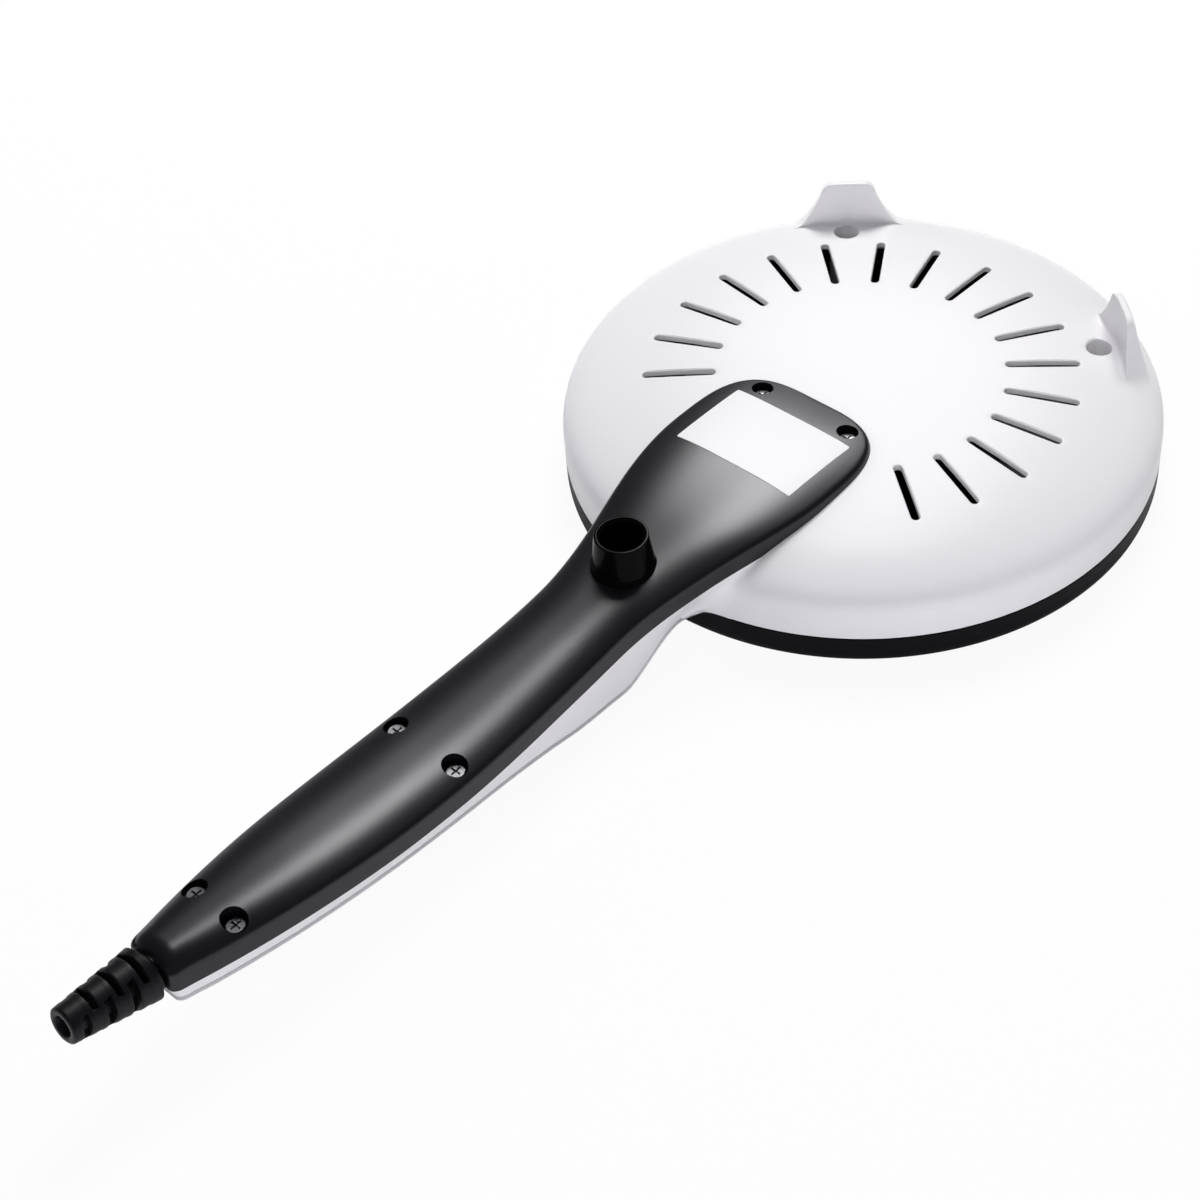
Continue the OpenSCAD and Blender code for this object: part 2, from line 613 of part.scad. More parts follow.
// Thermal fuse in its sleeve, under a screwed clip
fuse_x = 36;
fuse_boss_y = 8;
sleeve_r = 2.6;
sleeve_l = 22;
fuse_r = 1.9;
fuse_z = plate_in_z + sleeve_r;
module at_fuse() on_floor() translate([fuse_x, 0, fuse_z]) rotate([0, 90, 0]) children();
module fuse_sleeve() color("khaki") at_fuse() translate([0, 0, -sleeve_l / 2])
    difference() {
        cylinder(r = sleeve_r, h = sleeve_l, $fn = 32);
        translate([0, 0, -e]) cylinder(r = fuse_r + thread_gap, h = sleeve_l + 2 * e, $fn = 32);
    }
wire_out = 1;
fuse_l = 11;
wire_r = 0.6;
module thermal_fuse() color("goldenrod") at_fuse() {
    translate([0, 0, -fuse_l / 2]) cylinder(r = fuse_r, h = fuse_l, $fn = 32);
    translate([0, 0, -sleeve_l / 2 - wire_out]) cylinder(r = wire_r, h = sleeve_l + 2 * wire_out, $fn = 24);
}
clip_w = 6;
clip_t = 0.8;
clip_in_r = sleeve_r + thread_gap;
module fuse_clip() color("silver") on_floor() translate([fuse_x, 0, 0]) difference() {
    union() {
        translate([-clip_w / 2, 0, fuse_z]) rotate([0, 90, 0]) difference() {
            cylinder(r = clip_in_r + clip_t, h = clip_w, $fn = 32);
            translate([0, 0, -e]) cylinder(r = clip_in_r, h = clip_w + 2 * e, $fn = 32);
            translate([0, -10, -e]) cube([10, 20, clip_w + 2 * e]);
        }
        translate([-clip_w / 2, -clip_in_r - clip_t, plate_in_z])
            cube([clip_w, clip_t, fuse_z - plate_in_z]);
        translate([-clip_w / 2, clip_in_r, small_boss_top])
            cube([clip_w, fuse_boss_y + clip_w / 2 - clip_in_r, clip_t]);
        translate([-clip_w / 2, clip_in_r, fuse_z - 0.2])
            cube([clip_w, clip_t, small_boss_top - fuse_z + 0.2]);
    }
    translate([0, fuse_boss_y, small_boss_top - e]) cylinder(r = m3_r + hole_gap, h = 5);
}
module fuse_screw() color("silver") on_floor() translate([fuse_x, fuse_boss_y, 0])
    m3_screw(small_boss_top + clip_t, plate_in_z + 1);

tag_t = 0.8;
tag_l = 10;
module at_earth() on_floor() translate(earth_place) children();
module earth_tag() color("silver") at_earth() translate([0, 0, earth_top]) difference() {
    union() {
        cylinder(r = earth_boss_r, h = tag_t);
        rotate(earth_turn) translate([0, -2, 0]) cube([tag_l, 4, tag_t]);
    }
    translate([0, 0, -e]) cylinder(r = plate_shank_r + hole_gap, h = 5);
}
earth_turn = 150;
module earth_screw() color("goldenrod") at_earth() {
    translate([0, 0, earth_top + tag_t]) cross_head(3.6, 2.2);
    translate([0, 0, plate_in_z + 1])
        cylinder(r = plate_shank_r, h = earth_top + tag_t - plate_in_z - 1, $fn = 32);
}

// ---- Cord end: terminal block, clamp and strain relief ----
block_s = 246;
block_size = [22, 17, 9];
block_z = 9.8;
pillar_r = 4;
module block_pillar() difference() {
    translate([-block_s, 0, keel_z(block_s) + shell_wall / 2])
        cylinder(r = pillar_r, h = block_z - keel_z(block_s) - shell_wall / 2);
    translate([-block_s, 0, block_z - 3.5]) cylinder(r = m3_r + thread_gap, h = 10);
}
module terminal_block() color("ivory") on_floor() translate([-block_s, 0, block_z]) difference() {
    translate([-block_size[0] / 2, -block_size[1] / 2, 0]) cube(block_size);
    for (y = block_ways, m = [-1, 1]) translate([m * block_size[0] / 2, y, block_way_z]) {
        rotate([0, -90 * m, 0]) translate([0, 0, -e])
            cylinder(r = lead_r + loose_gap, h = block_way_l + e, $fn = 24);
        translate([m * (2 - block_way_l), 0, 0])
            cylinder(r = core_screw_r + thread_gap, h = block_size[2], $fn = 24);
    }
    translate([0, 0, -e]) cylinder(r = m3_r + hole_gap, h = 20);
    translate([0, 0, block_size[2] - 2]) cylinder(r = 3, h = 5);
}
block_way_l = 6;
core_screw_r = 1.55;
block_way_z = 4.2;
block_ways = [-5.6, 0, 5.6];
module block_screw() color("silver") on_floor() translate([-block_s, 0, 0])
    m3_screw(block_z + block_size[2] - 2, block_z - 3);
// Brass screws over the cores, two for each way
module core_screws() color("goldenrod") on_floor() for (y = block_ways, m = [-1, 1])
    translate([-block_s + m * (block_size[0] / 2 + 2 - block_way_l), y, block_lead_z + lead_r + thread_gap])
        cylinder(r = core_screw_r, h = 3, $fn = 24);
lead_r = 1.1;

clamp_s = 282;
clamp_half = 6.6;
clamp_z = 17;
clamp_post_r = 2.7;
clamp_shank_r = 1.1;
clamp_t = 2.4;
clamp_w = 7;
module clamp_posts() for (m = [-1, 1]) translate([-clamp_s, m * clamp_half, 0]) difference() {
    foot = keel_z(clamp_s) + shell_wall / 2 + 0.8;
    translate([0, 0, foot]) cylinder(r = clamp_post_r, h = clamp_z - foot);
    translate([0, 0, clamp_z - 5]) cylinder(r = clamp_shank_r + thread_gap, h = 10);
}
module cord_clamp() color("dimgray") on_floor() translate([-clamp_s, 0, clamp_z]) difference() {
    translate([-clamp_w / 2, -clamp_half - clamp_post_r, 0])
        cube([clamp_w, 2 * (clamp_half + clamp_post_r), clamp_t]);
    translate([-clamp_w, 0, -2.2]) rotate([0, 90, 0]) cylinder(r = cord_bore_r, h = 2 * clamp_w);
    for (m = [-1, 1]) translate([0, m * clamp_half, -e]) cylinder(r = clamp_shank_r + hole_gap, h = 5);
}
module clamp_screws() color("silver") on_floor() for (m = [-1, 1])
    translate([-clamp_s, m * clamp_half, clamp_z]) {
        translate([0, 0, clamp_t]) cross_head(2.2, 1.5);
        translate([0, 0, -4]) cylinder(r = clamp_shank_r, h = clamp_t + 4, $fn = 32);
    }
relief_in = 5.2;
relief_collar = 5.2;
relief_rib = 2.1;
relief_core_r = cord_bore_r + 0.9;
module strain_relief() color([0.06, 0.06, 0.06]) on_floor() at_relief() {
    pitch = (relief_l - relief_collar - relief_end_l) / relief_slots;
    difference() {
        union() {
            translate([0, 0, -relief_in]) cylinder(r = relief_flange_r, h = 1.8);
            translate([0, 0, -relief_in]) cylinder(r = relief_neck_r, h = relief_in + 1);
            difference() {
                cylinder(r1 = relief_r, r2 = relief_end_r, h = relief_l);
                rotate([0, -relief_tilt, 0]) translate([-20, -20, loose_gap - 20]) cube([40, 40, 20]);
            }
        }
        translate([0, 0, -relief_in - e]) cylinder(r = cord_bore_r, h = relief_l + relief_in + 2 * e);
        for (k = [0:relief_slots - 1]) translate([0, 0, relief_collar + k * pitch])
            rotate(k % 2 == 0 ? 0 : 90) relief_slot(pitch - relief_rib);
    }
}
relief_end_l = 1.4;
// A ring groove down to the core, with a bridge left on two sides
bridge_w = 9.5;
module relief_slot(h) difference() {
    cylinder(r = relief_r + 2, h = h);
    translate([0, 0, -e]) cylinder(r = relief_core_r, h = h + 2 * e);
    translate([-bridge_w / 2, -relief_r - 3, -e]) cube([bridge_w, 2 * relief_r + 6, h + 2 * e]);
}

// ---- Switch and pilot lamp ----
switch_depth = 14;
rocker_l = 15;
rocker_w = switch_body_w - 2.6;
rocker_pivot_z = 1;
stub_r = 1.2;
cavity_l = rocker_l + 1.4;
cavity_depth = 6.5;
module switch_housing() color([0.1, 0.1, 0.1]) on_floor() at_keel(switch_s) difference() {
    union() {
        translate([-switch_l / 2, -switch_w / 2, switch_floor - switch_bezel_t])
            cube([switch_l, switch_w, switch_bezel_t]);
        translate([-switch_body_l / 2, -switch_body_w / 2, switch_floor - 0.1])
            cube([switch_body_l, switch_body_w, switch_depth + 0.1]);
    }
    translate([-cavity_l / 2, -rocker_w / 2 - loose_gap, -5])
        cube([cavity_l, rocker_w + 2 * loose_gap, 5 + cavity_depth]);
    translate([0, -switch_body_w / 2 - e, rocker_pivot_z]) rotate([-90, 0, 0])
        cylinder(r = stub_r + stub_gap, h = switch_body_w + 2 * e, $fn = 32);
}
module switch_rocker() color([0.6, 0.05, 0.05]) on_floor() at_keel(switch_s)
    translate([0, 0, rocker_pivot_z]) rotate([0, -rocker_turn / 2, 0]) {
        half = rocker_l / 2;
        translate([0, rocker_w / 2, 0]) rotate([90, 0, 0]) linear_extrude(rocker_w) polygon([[-half, 0.6],
            [-half, -3.1], [-half + 0.5, -3.4], [0, -1.9], [half - 0.5, -3.4], [half, -3.1], [half, 0.6],
            [4, 2.6], [-4, 2.6]]);
        stub_l = switch_body_w - 0.6;
        translate([0, -stub_l / 2, 0]) rotate([-90, 0, 0]) cylinder(r = stub_r, h = stub_l, $fn = 32);
    }
blade_x = 5;
blade_l = 6;
blade_w = 4.8;
switch_blade_z = switch_floor + switch_depth;
module switch_blades() color("goldenrod") on_floor() at_keel(switch_s) for (m = [-1, 1])
    translate([m * blade_x - 0.4, -blade_w / 2, switch_blade_z]) cube([0.8, blade_w, blade_l]);
module indicator_lens() color([0.8, 0.1, 0.05]) on_floor() at_keel(lamp_s) {
    translate([0, 0, -0.9]) cylinder(r = lens_r + 0.9, h = 0.8, $fn = 32);
    translate([0, 0, -0.2]) cylinder(r = lens_r, h = shell_wall + 1.4, $fn = 32);
}
lamp_l = 9;
module pilot_lamp() color("orange") on_floor() at_keel(lamp_s) translate([0, 0, shell_wall + 1.2])
    cylinder(r = 2, h = lamp_l, $fn = 32);

// ---- Leads ----
function unit(v) = v / norm(v);
function along(p, t) =
    let (n = len(p) - 1, i = min(floor(t * n), n - 1), u = t * n - i,
        a = p[max(i - 1, 0)], b = p[i], c = p[i + 1], d = p[min(i + 2, n)])
    b + (c - a) * u / 2 + (2 * a - 5 * b + 4 * c - d) * u ^ 2 / 2 + (3 * b - a - 3 * c + d) * u ^ 3 / 2;
lead_sides = 8;
end_gap = 0.25;
module lead(route) {
    n = 2 * (len(route) - 1);
    path = [for (i = [0:n]) along(route, i / n)];
    rings = [for (i = [0:n]) let (
        t = unit(path[min(i + 1, n)] - path[max(i - 1, 0)]),
        side = unit(cross(t, abs(t[2]) > 0.9 ? [1, 0, 0] : [0, 0, 1])), up = cross(side, t))
        [for (k = [0:lead_sides - 1]) path[i] + lead_r * (cos(360 * k / lead_sides) * side
            + sin(360 * k / lead_sides) * up)]];
    sweep(rings, true);
}
block_out_s = block_s - block_size[0] / 2 + 3;
block_lead_z = block_z + block_way_z;
module neutral_lead() color("steelblue") on_floor() lead([[-block_out_s, block_ways[0], block_lead_z],
    [-230, -5.6, 14], [-212, -6, 13], [-192, -8, 12], [-176, -12, 12], [-158, -12, 12], [-140, -9, 12],
    [-122, -8, 14], [-104, -9, 12.5], [-88, -12, 11], [-74, -14, 15], [-64, -16, 17.5],
    pin_end(1) + [0, 0, 3], pin_end(1) + [0, 0, 1.5], pin_end(1)]);
// Where a lead meets the heater's pin, m = 1 or -1
function pin_end(m) = [-element_r * cos(element_gap), -m * element_r * sin(element_gap), pin_top + end_gap];
module earth_lead() color("yellowgreen") on_floor() lead([[-block_out_s, 0, block_lead_z], [-232, 0, 14],
    [-214, -2.5, 9], [-196, -9, 6], [-178, -13, 7], [-160, -13.2, 7], [-142, -13, 6], [-124, -12.5, 9.5],
    [-104, -12.5, 7.5], [-86, -18, 6], [-66, -25, 6], earth_lead_end + [-4, 1.6, 0.6], earth_lead_end]);
earth_lead_end = [earth_place[0] + 10.1 * cos(earth_turn), earth_place[1] + 10.1 * sin(earth_turn),
    earth_top + tag_t / 2];
module live_lead() color("saddlebrown") on_floor() lead([[-block_out_s, block_ways[2], block_lead_z],
    [-228, 5.4, 14.5], [-210, 4.5, 15], [-194, 4, 16], [-182, 2, 18], [-174, 0, 18.4],
    blade_tip(-1) + [-1, 0, 1.4], blade_tip(-1)]);
function blade_tip(m) = let (rise = atan((keel_z(switch_s + 10) - keel_z(switch_s - 10)) / 20),
    x = m * blade_x, z = switch_blade_z + blade_l + end_gap)
    [-switch_s + x * cos(rise) + z * sin(rise), 0, keel_z(switch_s) - x * sin(rise) + z * cos(rise)];
function tab_tip(m) = [m * tab_x, 0, thermostat_top + tab_h + end_gap];
module switched_lead() color("firebrick") on_floor() lead([blade_tip(1), blade_tip(1) + [2, 0.4, 1.6],
    [-150, 4, 17.5], [-140, 9, 14], [-124, 12, 13], [-106, 12, 10], [-88, 12, 8], [-66, 9, 9], [-40, 4, 12],
    [-18, 0, 14], tab_tip(-1) + [-0.6, 0, 2.8], tab_tip(-1) + [0, 0, 1.3], tab_tip(-1)]);
module fuse_lead() color("firebrick") on_floor() lead([tab_tip(1), tab_tip(1) + [0, 0, 1.4],
    [9, 0, 10], [13, 0, 5], [15.5, 0, 0], [18, 0, -4], fuse_wire_end(-1)]);
function fuse_wire_end(m) = [fuse_x + m * (sleeve_l / 2 + wire_out + end_gap), 0, fuse_z];
module element_lead() color("firebrick") on_floor() lead([fuse_wire_end(1),
    [51.5, 2, fuse_z], [50, 9, -5.4], [44, 15, -4.6], [32, 17, -4.2], [19, 13.5, -3.6], [9.5, 12, 0],
    [-2, 19, 5], [-20, 24, 7], [-40, 20, 12], [-54, 17, 15.5],
    pin_end(-1) + [0, 0, 3], pin_end(-1) + [0, 0, 1.5], pin_end(-1)]);

body_shell();
handle_cover();
rear_foot();
rating_label();
cover_screws();
cooking_plate();
rim_gasket();
heating_element();
element_seals();
element_pins();
heat_shield();
post_washers();
plate_screws();
thermostat();
thermostat_bracket();
bracket_screws();
thermal_fuse();
fuse_sleeve();
fuse_clip();
fuse_screw();
earth_tag();
earth_screw();
terminal_block();
block_screw();
core_screws();
cord_clamp();
clamp_screws();
strain_relief();
switch_housing();
switch_rocker();
switch_blades();
indicator_lens();
pilot_lamp();
neutral_lead();
earth_lead();
live_lead();
switched_lead();
fuse_lead();
element_lead();
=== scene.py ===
# %% [markdown]
# # A hand-held crepe maker with its underside up
# Such a maker is dipped into batter and bakes the crepe on its plate. Here it lies on that plate,
# so the white shell with its air slots and feet points up, and the handle runs out along -X. The
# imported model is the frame: every piece takes its place from it, in metres, with the origin at the
# centre of the cooking face. The shells are worked out again as smooth surfaces, because a packed
# mesh keeps the facets of its source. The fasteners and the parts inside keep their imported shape.

# %% Load the frame
import json
import math

import bmesh
import bpy
import numpy as np
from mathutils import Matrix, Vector


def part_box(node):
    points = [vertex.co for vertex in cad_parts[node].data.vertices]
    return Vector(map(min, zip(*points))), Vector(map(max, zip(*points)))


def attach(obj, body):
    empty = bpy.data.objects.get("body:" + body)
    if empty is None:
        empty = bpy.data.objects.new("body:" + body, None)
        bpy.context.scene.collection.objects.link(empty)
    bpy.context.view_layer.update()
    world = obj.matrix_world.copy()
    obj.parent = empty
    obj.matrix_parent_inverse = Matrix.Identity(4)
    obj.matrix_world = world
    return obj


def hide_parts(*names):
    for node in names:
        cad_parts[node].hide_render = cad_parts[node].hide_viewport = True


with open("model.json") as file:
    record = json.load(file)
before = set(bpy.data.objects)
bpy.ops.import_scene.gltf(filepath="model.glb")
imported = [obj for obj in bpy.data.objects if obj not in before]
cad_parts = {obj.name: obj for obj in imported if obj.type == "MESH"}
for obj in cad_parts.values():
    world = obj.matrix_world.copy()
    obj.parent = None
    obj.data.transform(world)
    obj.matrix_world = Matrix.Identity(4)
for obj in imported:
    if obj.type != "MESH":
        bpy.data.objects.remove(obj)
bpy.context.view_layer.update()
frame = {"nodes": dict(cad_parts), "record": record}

# %% [markdown]
# ## Measures and curves
# All shapes are worked out in millimetres, with heights counted from the rim plane where the white
# shell meets the plate. Metres would do too, but millimetres read like a maker's drawing. `s` is
# the distance from the plate's axis towards the handle's end, so x = -s.

# %% Measures of the shell
MM = 0.001
plate_depth = 11.5
shell_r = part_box("cooking_plate")[1][0] / MM
shell_h, shell_edge_h, shell_wall, lip_gap = 26.2, 7.0, 2.2, 0.3
dome_power_r, dome_power_z = 4.26, 3.25
print("shell radius", round(shell_r, 2), "mm")


# %% Curves that many pieces use
def curve(stations, s):
    """A smooth curve through [distance, value] stations: cubic Hermite spans whose slope at each
    station is that of the line between its two neighbours."""
    x, v = np.array(stations, float).T
    slope = np.gradient(v, x)
    slope[1:-1] = (v[2:] - v[:-2]) / (x[2:] - x[:-2])
    i = np.clip(np.searchsorted(x, s, side="left") - 1, 0, len(x) - 2)
    h = x[i + 1] - x[i]
    t = (s - x[i]) / h
    return (v[i] * (2 * t**3 - 3 * t**2 + 1) + slope[i] * h * (t**3 - 2 * t**2 + t)
            + v[i + 1] * (3 * t**2 - 2 * t**3) + slope[i + 1] * h * (t**3 - t**2))


def ease(t):
    """The smooth step 3t^2 - 2t^3, held at 0 and 1 outside."""
    t = np.clip(t, 0, 1)
    return t * t * (3 - 2 * t)


def bend(a, corner, b, steps):
    """Rows of the parabola (1-t)^2 a + 2t(1-t) corner + t^2 b, for whole arrays of columns."""
    t = np.linspace(0, 1, steps)[:, None, None]
    return (1 - t) ** 2 * a + 2 * t * (1 - t) * corner + t**2 * b


def rounded(points, radius, steps=4):
    """A polyline with each inner corner replaced by a parabola that starts radius before it and
    ends radius after it, or nearer where a side is short. radius may differ from point to point."""
    points = np.array(points, float)
    radius = np.broadcast_to(radius, len(points))
    out = [points[:1]]
    for i in range(1, len(points) - 1):
        before, after = points[i - 1] - points[i], points[i + 1] - points[i]
        reach = min(radius[i], 0.45 * np.hypot(*before), 0.45 * np.hypot(*after))
        a = points[i] + before / np.hypot(*before) * reach
        b = points[i] + after / np.hypot(*after) * reach
        out.append(bend(a, points[i], b, steps + 1)[:, 0])
    return np.vstack(out + [points[-1:]])


# %% [markdown]
# ## From grids to meshes
# A shape here is a grid of points, rows by columns, whose columns close round the piece and whose
# first and last rows shrink to a point or a line. Joining neighbours gives quads, and merging the
# points that fall together closes poles and seams. Modelling by hand would do for one shape, but a
# grid follows its measures when they change. Holes are cut with the Boolean modifier, because a
# round hole in a curved wall has no simple grid.

# %% A closed mesh from a grid
def to_frame(points):
    """Working points (mm, heights from the rim plane) to the frame (m, heights from the plate)."""
    return (np.asarray(points, float) + [0, 0, plate_depth]) * MM


def new_object(name, data):
    """An object in the scene from a mesh, a lamp or a camera."""
    thing = bpy.data.objects.new(name, data)
    bpy.context.scene.collection.objects.link(thing)
    return thing


merge_distance = 2e-6


def solid(name, grid):
    """A closed mesh from a grid of points (rows, columns, 3) in working millimetres."""
    rows, columns, _ = grid.shape
    index = np.arange(rows * columns).reshape(rows, columns)
    a, b = index[:-1], index[1:]
    quads = np.stack([a, np.roll(a, -1, 1), np.roll(b, -1, 1), b], -1).reshape(-1, 4)
    mesh = bpy.data.meshes.new(name)
    mesh.from_pydata(to_frame(grid.reshape(-1, 3)).tolist(), [], quads.tolist())
    work = bmesh.new()
    work.from_mesh(mesh)
    bmesh.ops.remove_doubles(work, verts=work.verts, dist=merge_distance)
    bmesh.ops.recalc_face_normals(work, faces=work.faces)
    if work.calc_volume(signed=True) < 0:
        bmesh.ops.reverse_faces(work, faces=work.faces)
    loose = sum(1 for edge in work.edges if not edge.is_manifold)
    if loose:
        print("  ", name, "has", loose, "open edges")
    work.to_mesh(mesh)
    work.free()
    return new_object(name, mesh)


def revolve(name, profile, place=(0, 0), count=96):
    """A profile of (radius, height) points turned round the upright axis through place."""
    turn = np.linspace(0, 2 * np.pi, count, endpoint=False)
    r, z = np.array(profile, float).T
    return solid(name, np.stack([place[0] + np.outer(r, np.cos(turn)),
                                 place[1] + np.outer(r, np.sin(turn)),
                                 np.repeat(z[:, None], count, 1)], -1))


def rod(name, r, low, high, place, count=48):
    """An upright round bar between two heights."""
    return revolve(name, [(0, low), (r, low), (r, high), (0, high)], place, count)


# %% Cutting and joining
def modifier(piece, kind, **settings):
    """Adds a modifier with its settings."""
    step = piece.modifiers.new(kind.lower(), kind)
    for key, value in settings.items():
        setattr(step, key, value)


def bake(piece):
    """Applies a piece's modifiers to its mesh."""
    shaped = piece.evaluated_get(bpy.context.evaluated_depsgraph_get())
    mesh = bpy.data.meshes.new_from_object(shaped)
    piece.modifiers.clear()
    piece.data = mesh


def cut(piece, tool, how="DIFFERENCE"):
    """Adds, subtracts or keeps the overlap of tool, then throws the tool away."""
    modifier(piece, "BOOLEAN", operation=how, solver="MANIFOLD", object=tool)
    bake(piece)
    bpy.data.objects.remove(tool)


def joined(name, things):
    """One object from several, for tools that cut in many places."""
    work = bmesh.new()
    for thing in things:
        work.from_mesh(thing.data)
        bpy.data.objects.remove(thing)
    mesh = bpy.data.meshes.new(name)
    work.to_mesh(mesh)
    work.free()
    return new_object(name, mesh)


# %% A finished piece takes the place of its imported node
slots = {part["node"]: part["material_slot"] for part in frame["record"]["subparts"]}
dressed = {}


def settle(piece, node, crisp=35, body="machine"):
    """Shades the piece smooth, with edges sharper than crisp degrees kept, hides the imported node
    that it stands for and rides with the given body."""
    piece.data.shade_smooth()
    piece.data.set_sharp_from_angle(angle=math.radians(crisp))
    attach(piece, body)
    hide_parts(node)
    dressed[node] = piece
    print(piece.name, len(piece.data.polygons), "faces")


# %% [markdown]
# ## The white dome with its two fins
# The real shell is one moulding: a shallow dome whose rim carries two upright fins that serve as
# feet. A Boolean could join a dome and two fins, but the fillets between them would then need a
# bevel that seldom works on curved walls. So it is one surface turned round the axis, whose
# section changes with the angle. Far from a fin the section is the plain dome. Near a fin it climbs
# a filleted inner face, runs over the fin's edge and comes down the leaning outer face. All rows
# exist at every angle, and where there is no fin the extra rows fall together.

# %% The fin's outline and its outer face
foot_h = 39.6
fin_angle, fin_in_r, fin_mid_r, fin_out_r = 40.7, 91.4, 92.7, 94.0
fin_tip_half, fin_tip_round, fin_lean, fin_flare, fin_foot_z = 8.7, 4.0, 0.4, 7.0, 16.5
fin_tilt, fin_curl = 0.21, 0.0038


def fin_edge_height(b):
    """Height of the fin's edge at the distance b from its middle, from its half width
    tip + lean * d + flare * (d / depth)^3 at the depth d below the tip, with rounded corners."""
    corner = foot_h - fin_tip_round
    z = np.linspace(corner, fin_foot_z - 12, 90)
    d = foot_h - z
    half = fin_tip_half + fin_lean * d + fin_flare * (d / (foot_h - fin_foot_z)) ** 3
    a = np.radians(np.linspace(90, 8, 12))
    half = np.concatenate([half[0] - fin_tip_round + fin_tip_round * np.cos(a), half])
    z = np.concatenate([corner + fin_tip_round * np.sin(a), z])
    return np.interp(np.abs(b), half, z)


def fin_outer_r(z):
    """Radius of the outer face = out_r + tilt * d + curl * d^2 at the depth d below the tip."""
    d = foot_h - z
    return fin_out_r + fin_tilt * d + fin_curl * d**2


# %% The dome's columns
def dome_angles(fine=0.35, coarse=1.5, fin_span=19.0):
    """Column angles in radians: coarse steps, and fine ones where the fins rise. The steps and
    the span on each side of a fin are given in degrees."""
    middles = (-fin_angle, fin_angle)
    steps = np.radians(np.arange(-fin_span, fin_span + 0.01, fine))
    near = [math.radians(m) + steps for m in middles]
    wide = np.radians(np.arange(-180, 180, coarse))
    clear = [np.abs(wide - math.radians(m)) > math.radians(fin_span + 0.6) for m in middles]
    return np.sort(np.concatenate(near + [wide[np.all(clear, 0)]]))


theta = dome_angles()
# How far each column is from the middle of the nearer fin, in mm
off_fin = np.min([np.abs(theta - math.radians(m)) for m in (-fin_angle, fin_angle)], 0) * fin_mid_r
print("dome:", len(theta), "columns")

# %% Heights on the dome and the fins, for all columns at once
fin_taper, blend_reach = 0.03, 2.5


def dome_z(r):
    """Height of the dome: (r / R)^p + ((z - edge) / (h - edge))^q = 1, a super-ellipse that stands
    on the upright side wall."""
    u = np.clip(r / shell_r, 0, 1) ** dome_power_r
    return shell_edge_h + (shell_h - shell_edge_h) * (1 - u) ** (1 / dome_power_z)


def soft_max(a, b, reach):
    """The larger of a and b, with the step between them rounded over the given reach."""
    near = np.clip(1 - np.abs(a - b) / reach, 0, 1)
    return np.maximum(a, b) + near**2 * reach / 4


def edge_at(r):
    """Height of the fin's edge at radius r, where its outline is a little narrower outwards."""
    return fin_edge_height(off_fin * (1 + fin_taper * (r - fin_in_r)))


def crest(r):
    """Height of the section's top: the fin's edge or the dome, blended where they meet."""
    return soft_max(edge_at(r), dome_z(r), blend_reach)


def falls_below(low, high, is_above):
    """The height between low and high where is_above turns false, by halving the span."""
    for _ in range(60):
        z = (low + high) / 2
        above = is_above(z)
        low, high = np.where(above, z, low), np.where(above, high, z)
    return z


# The outer face meets the flank at one height, and the fin's edge at another in each column
meet_z = falls_below(8.0, 24.0, lambda z: dome_z(fin_outer_r(z)) > z)
edge_z = falls_below(0 * off_fin + 4, 0 * off_fin + foot_h, lambda z: edge_at(fin_outer_r(z)) > z)
print("the outer face meets the flank at", round(float(meet_z), 2), "mm")

# %% How much room each fillet and rounding has, column by column
fin_fillet, fin_edge, least_step, rise_share, fall_share = 4.0, 0.7, 0.12, 0.45, 0.4
in_z, top_z = dome_z(fin_in_r), crest(fin_in_r)
rise = np.where(top_z - in_z < least_step, 0, top_z - in_z)
in_fillet, in_edge = np.minimum(fin_fillet, rise), np.minimum(fin_edge, rise_share * rise)
edge_z = soft_max(edge_z, meet_z + 0 * off_fin, blend_reach)
edge_z = np.where(edge_z - meet_z < least_step, meet_z, edge_z)
fall = edge_z - meet_z
out_edge, out_fillet = [np.minimum(size, fall_share * fall) for size in (fin_edge, fin_fillet)]
print("fins rise", round(float(rise.max()), 1), "mm from the dome")


# %% The section's rows: dome, inner face, the fin's top
def at(r, z):
    """(radius, height) of every column."""
    return np.stack([r + 0 * off_fin, z + 0 * off_fin], -1)


def run(where, start, stop, shares):
    """Rows at the given shares of the way from start to stop on the line called where."""
    return [where(start + (stop - start) * share)[None] for share in shares]


on_dome = lambda r: at(r, dome_z(r))
on_inner = lambda z: at(fin_in_r, z)
on_crest = lambda r: at(r, crest(r))
on_outer = lambda z: at(fin_outer_r(z), z)
plain_r, leave_r = 84.0, fin_in_r - in_fillet
low_z, high_z = in_z + 0.5 * in_fillet, np.where(rise > 0, top_z - in_edge, in_z)
over_in, over_out = fin_in_r + in_edge, fin_outer_r(edge_z) - out_edge
rows = run(on_dome, 0, plain_r, np.linspace(0, 1, 22))
rows += run(on_dome, plain_r, leave_r, np.linspace(0.15, 1, 6))
rows.append(bend(on_dome(leave_r), on_inner(in_z), on_inner(low_z), 7)[1:])
rows += run(on_inner, low_z, high_z, (0.3, 0.6, 1.0))
rows.append(bend(on_inner(high_z), on_inner(top_z), on_crest(over_in), 5)[1:])
rows += run(on_crest, over_in, over_out, np.linspace(0.12, 1, 8))

# %% The outer face and the flank
down_z, foot_z = edge_z - out_edge, meet_z + out_fillet
rows.append(bend(on_crest(over_out), on_outer(edge_z), on_outer(down_z), 5)[1:])
rows += run(on_outer, down_z, foot_z, np.linspace(0.2, 1, 5))


def on_flank(p):
    """The super-ellipse by its own angle p: r = R sin(p)^(2/p_r), z = edge + h cos(p)^(2/p_z)."""
    return at(shell_r * np.sin(p) ** (2 / dome_power_r),
              shell_edge_h + (shell_h - shell_edge_h) * np.cos(p) ** (2 / dome_power_z))


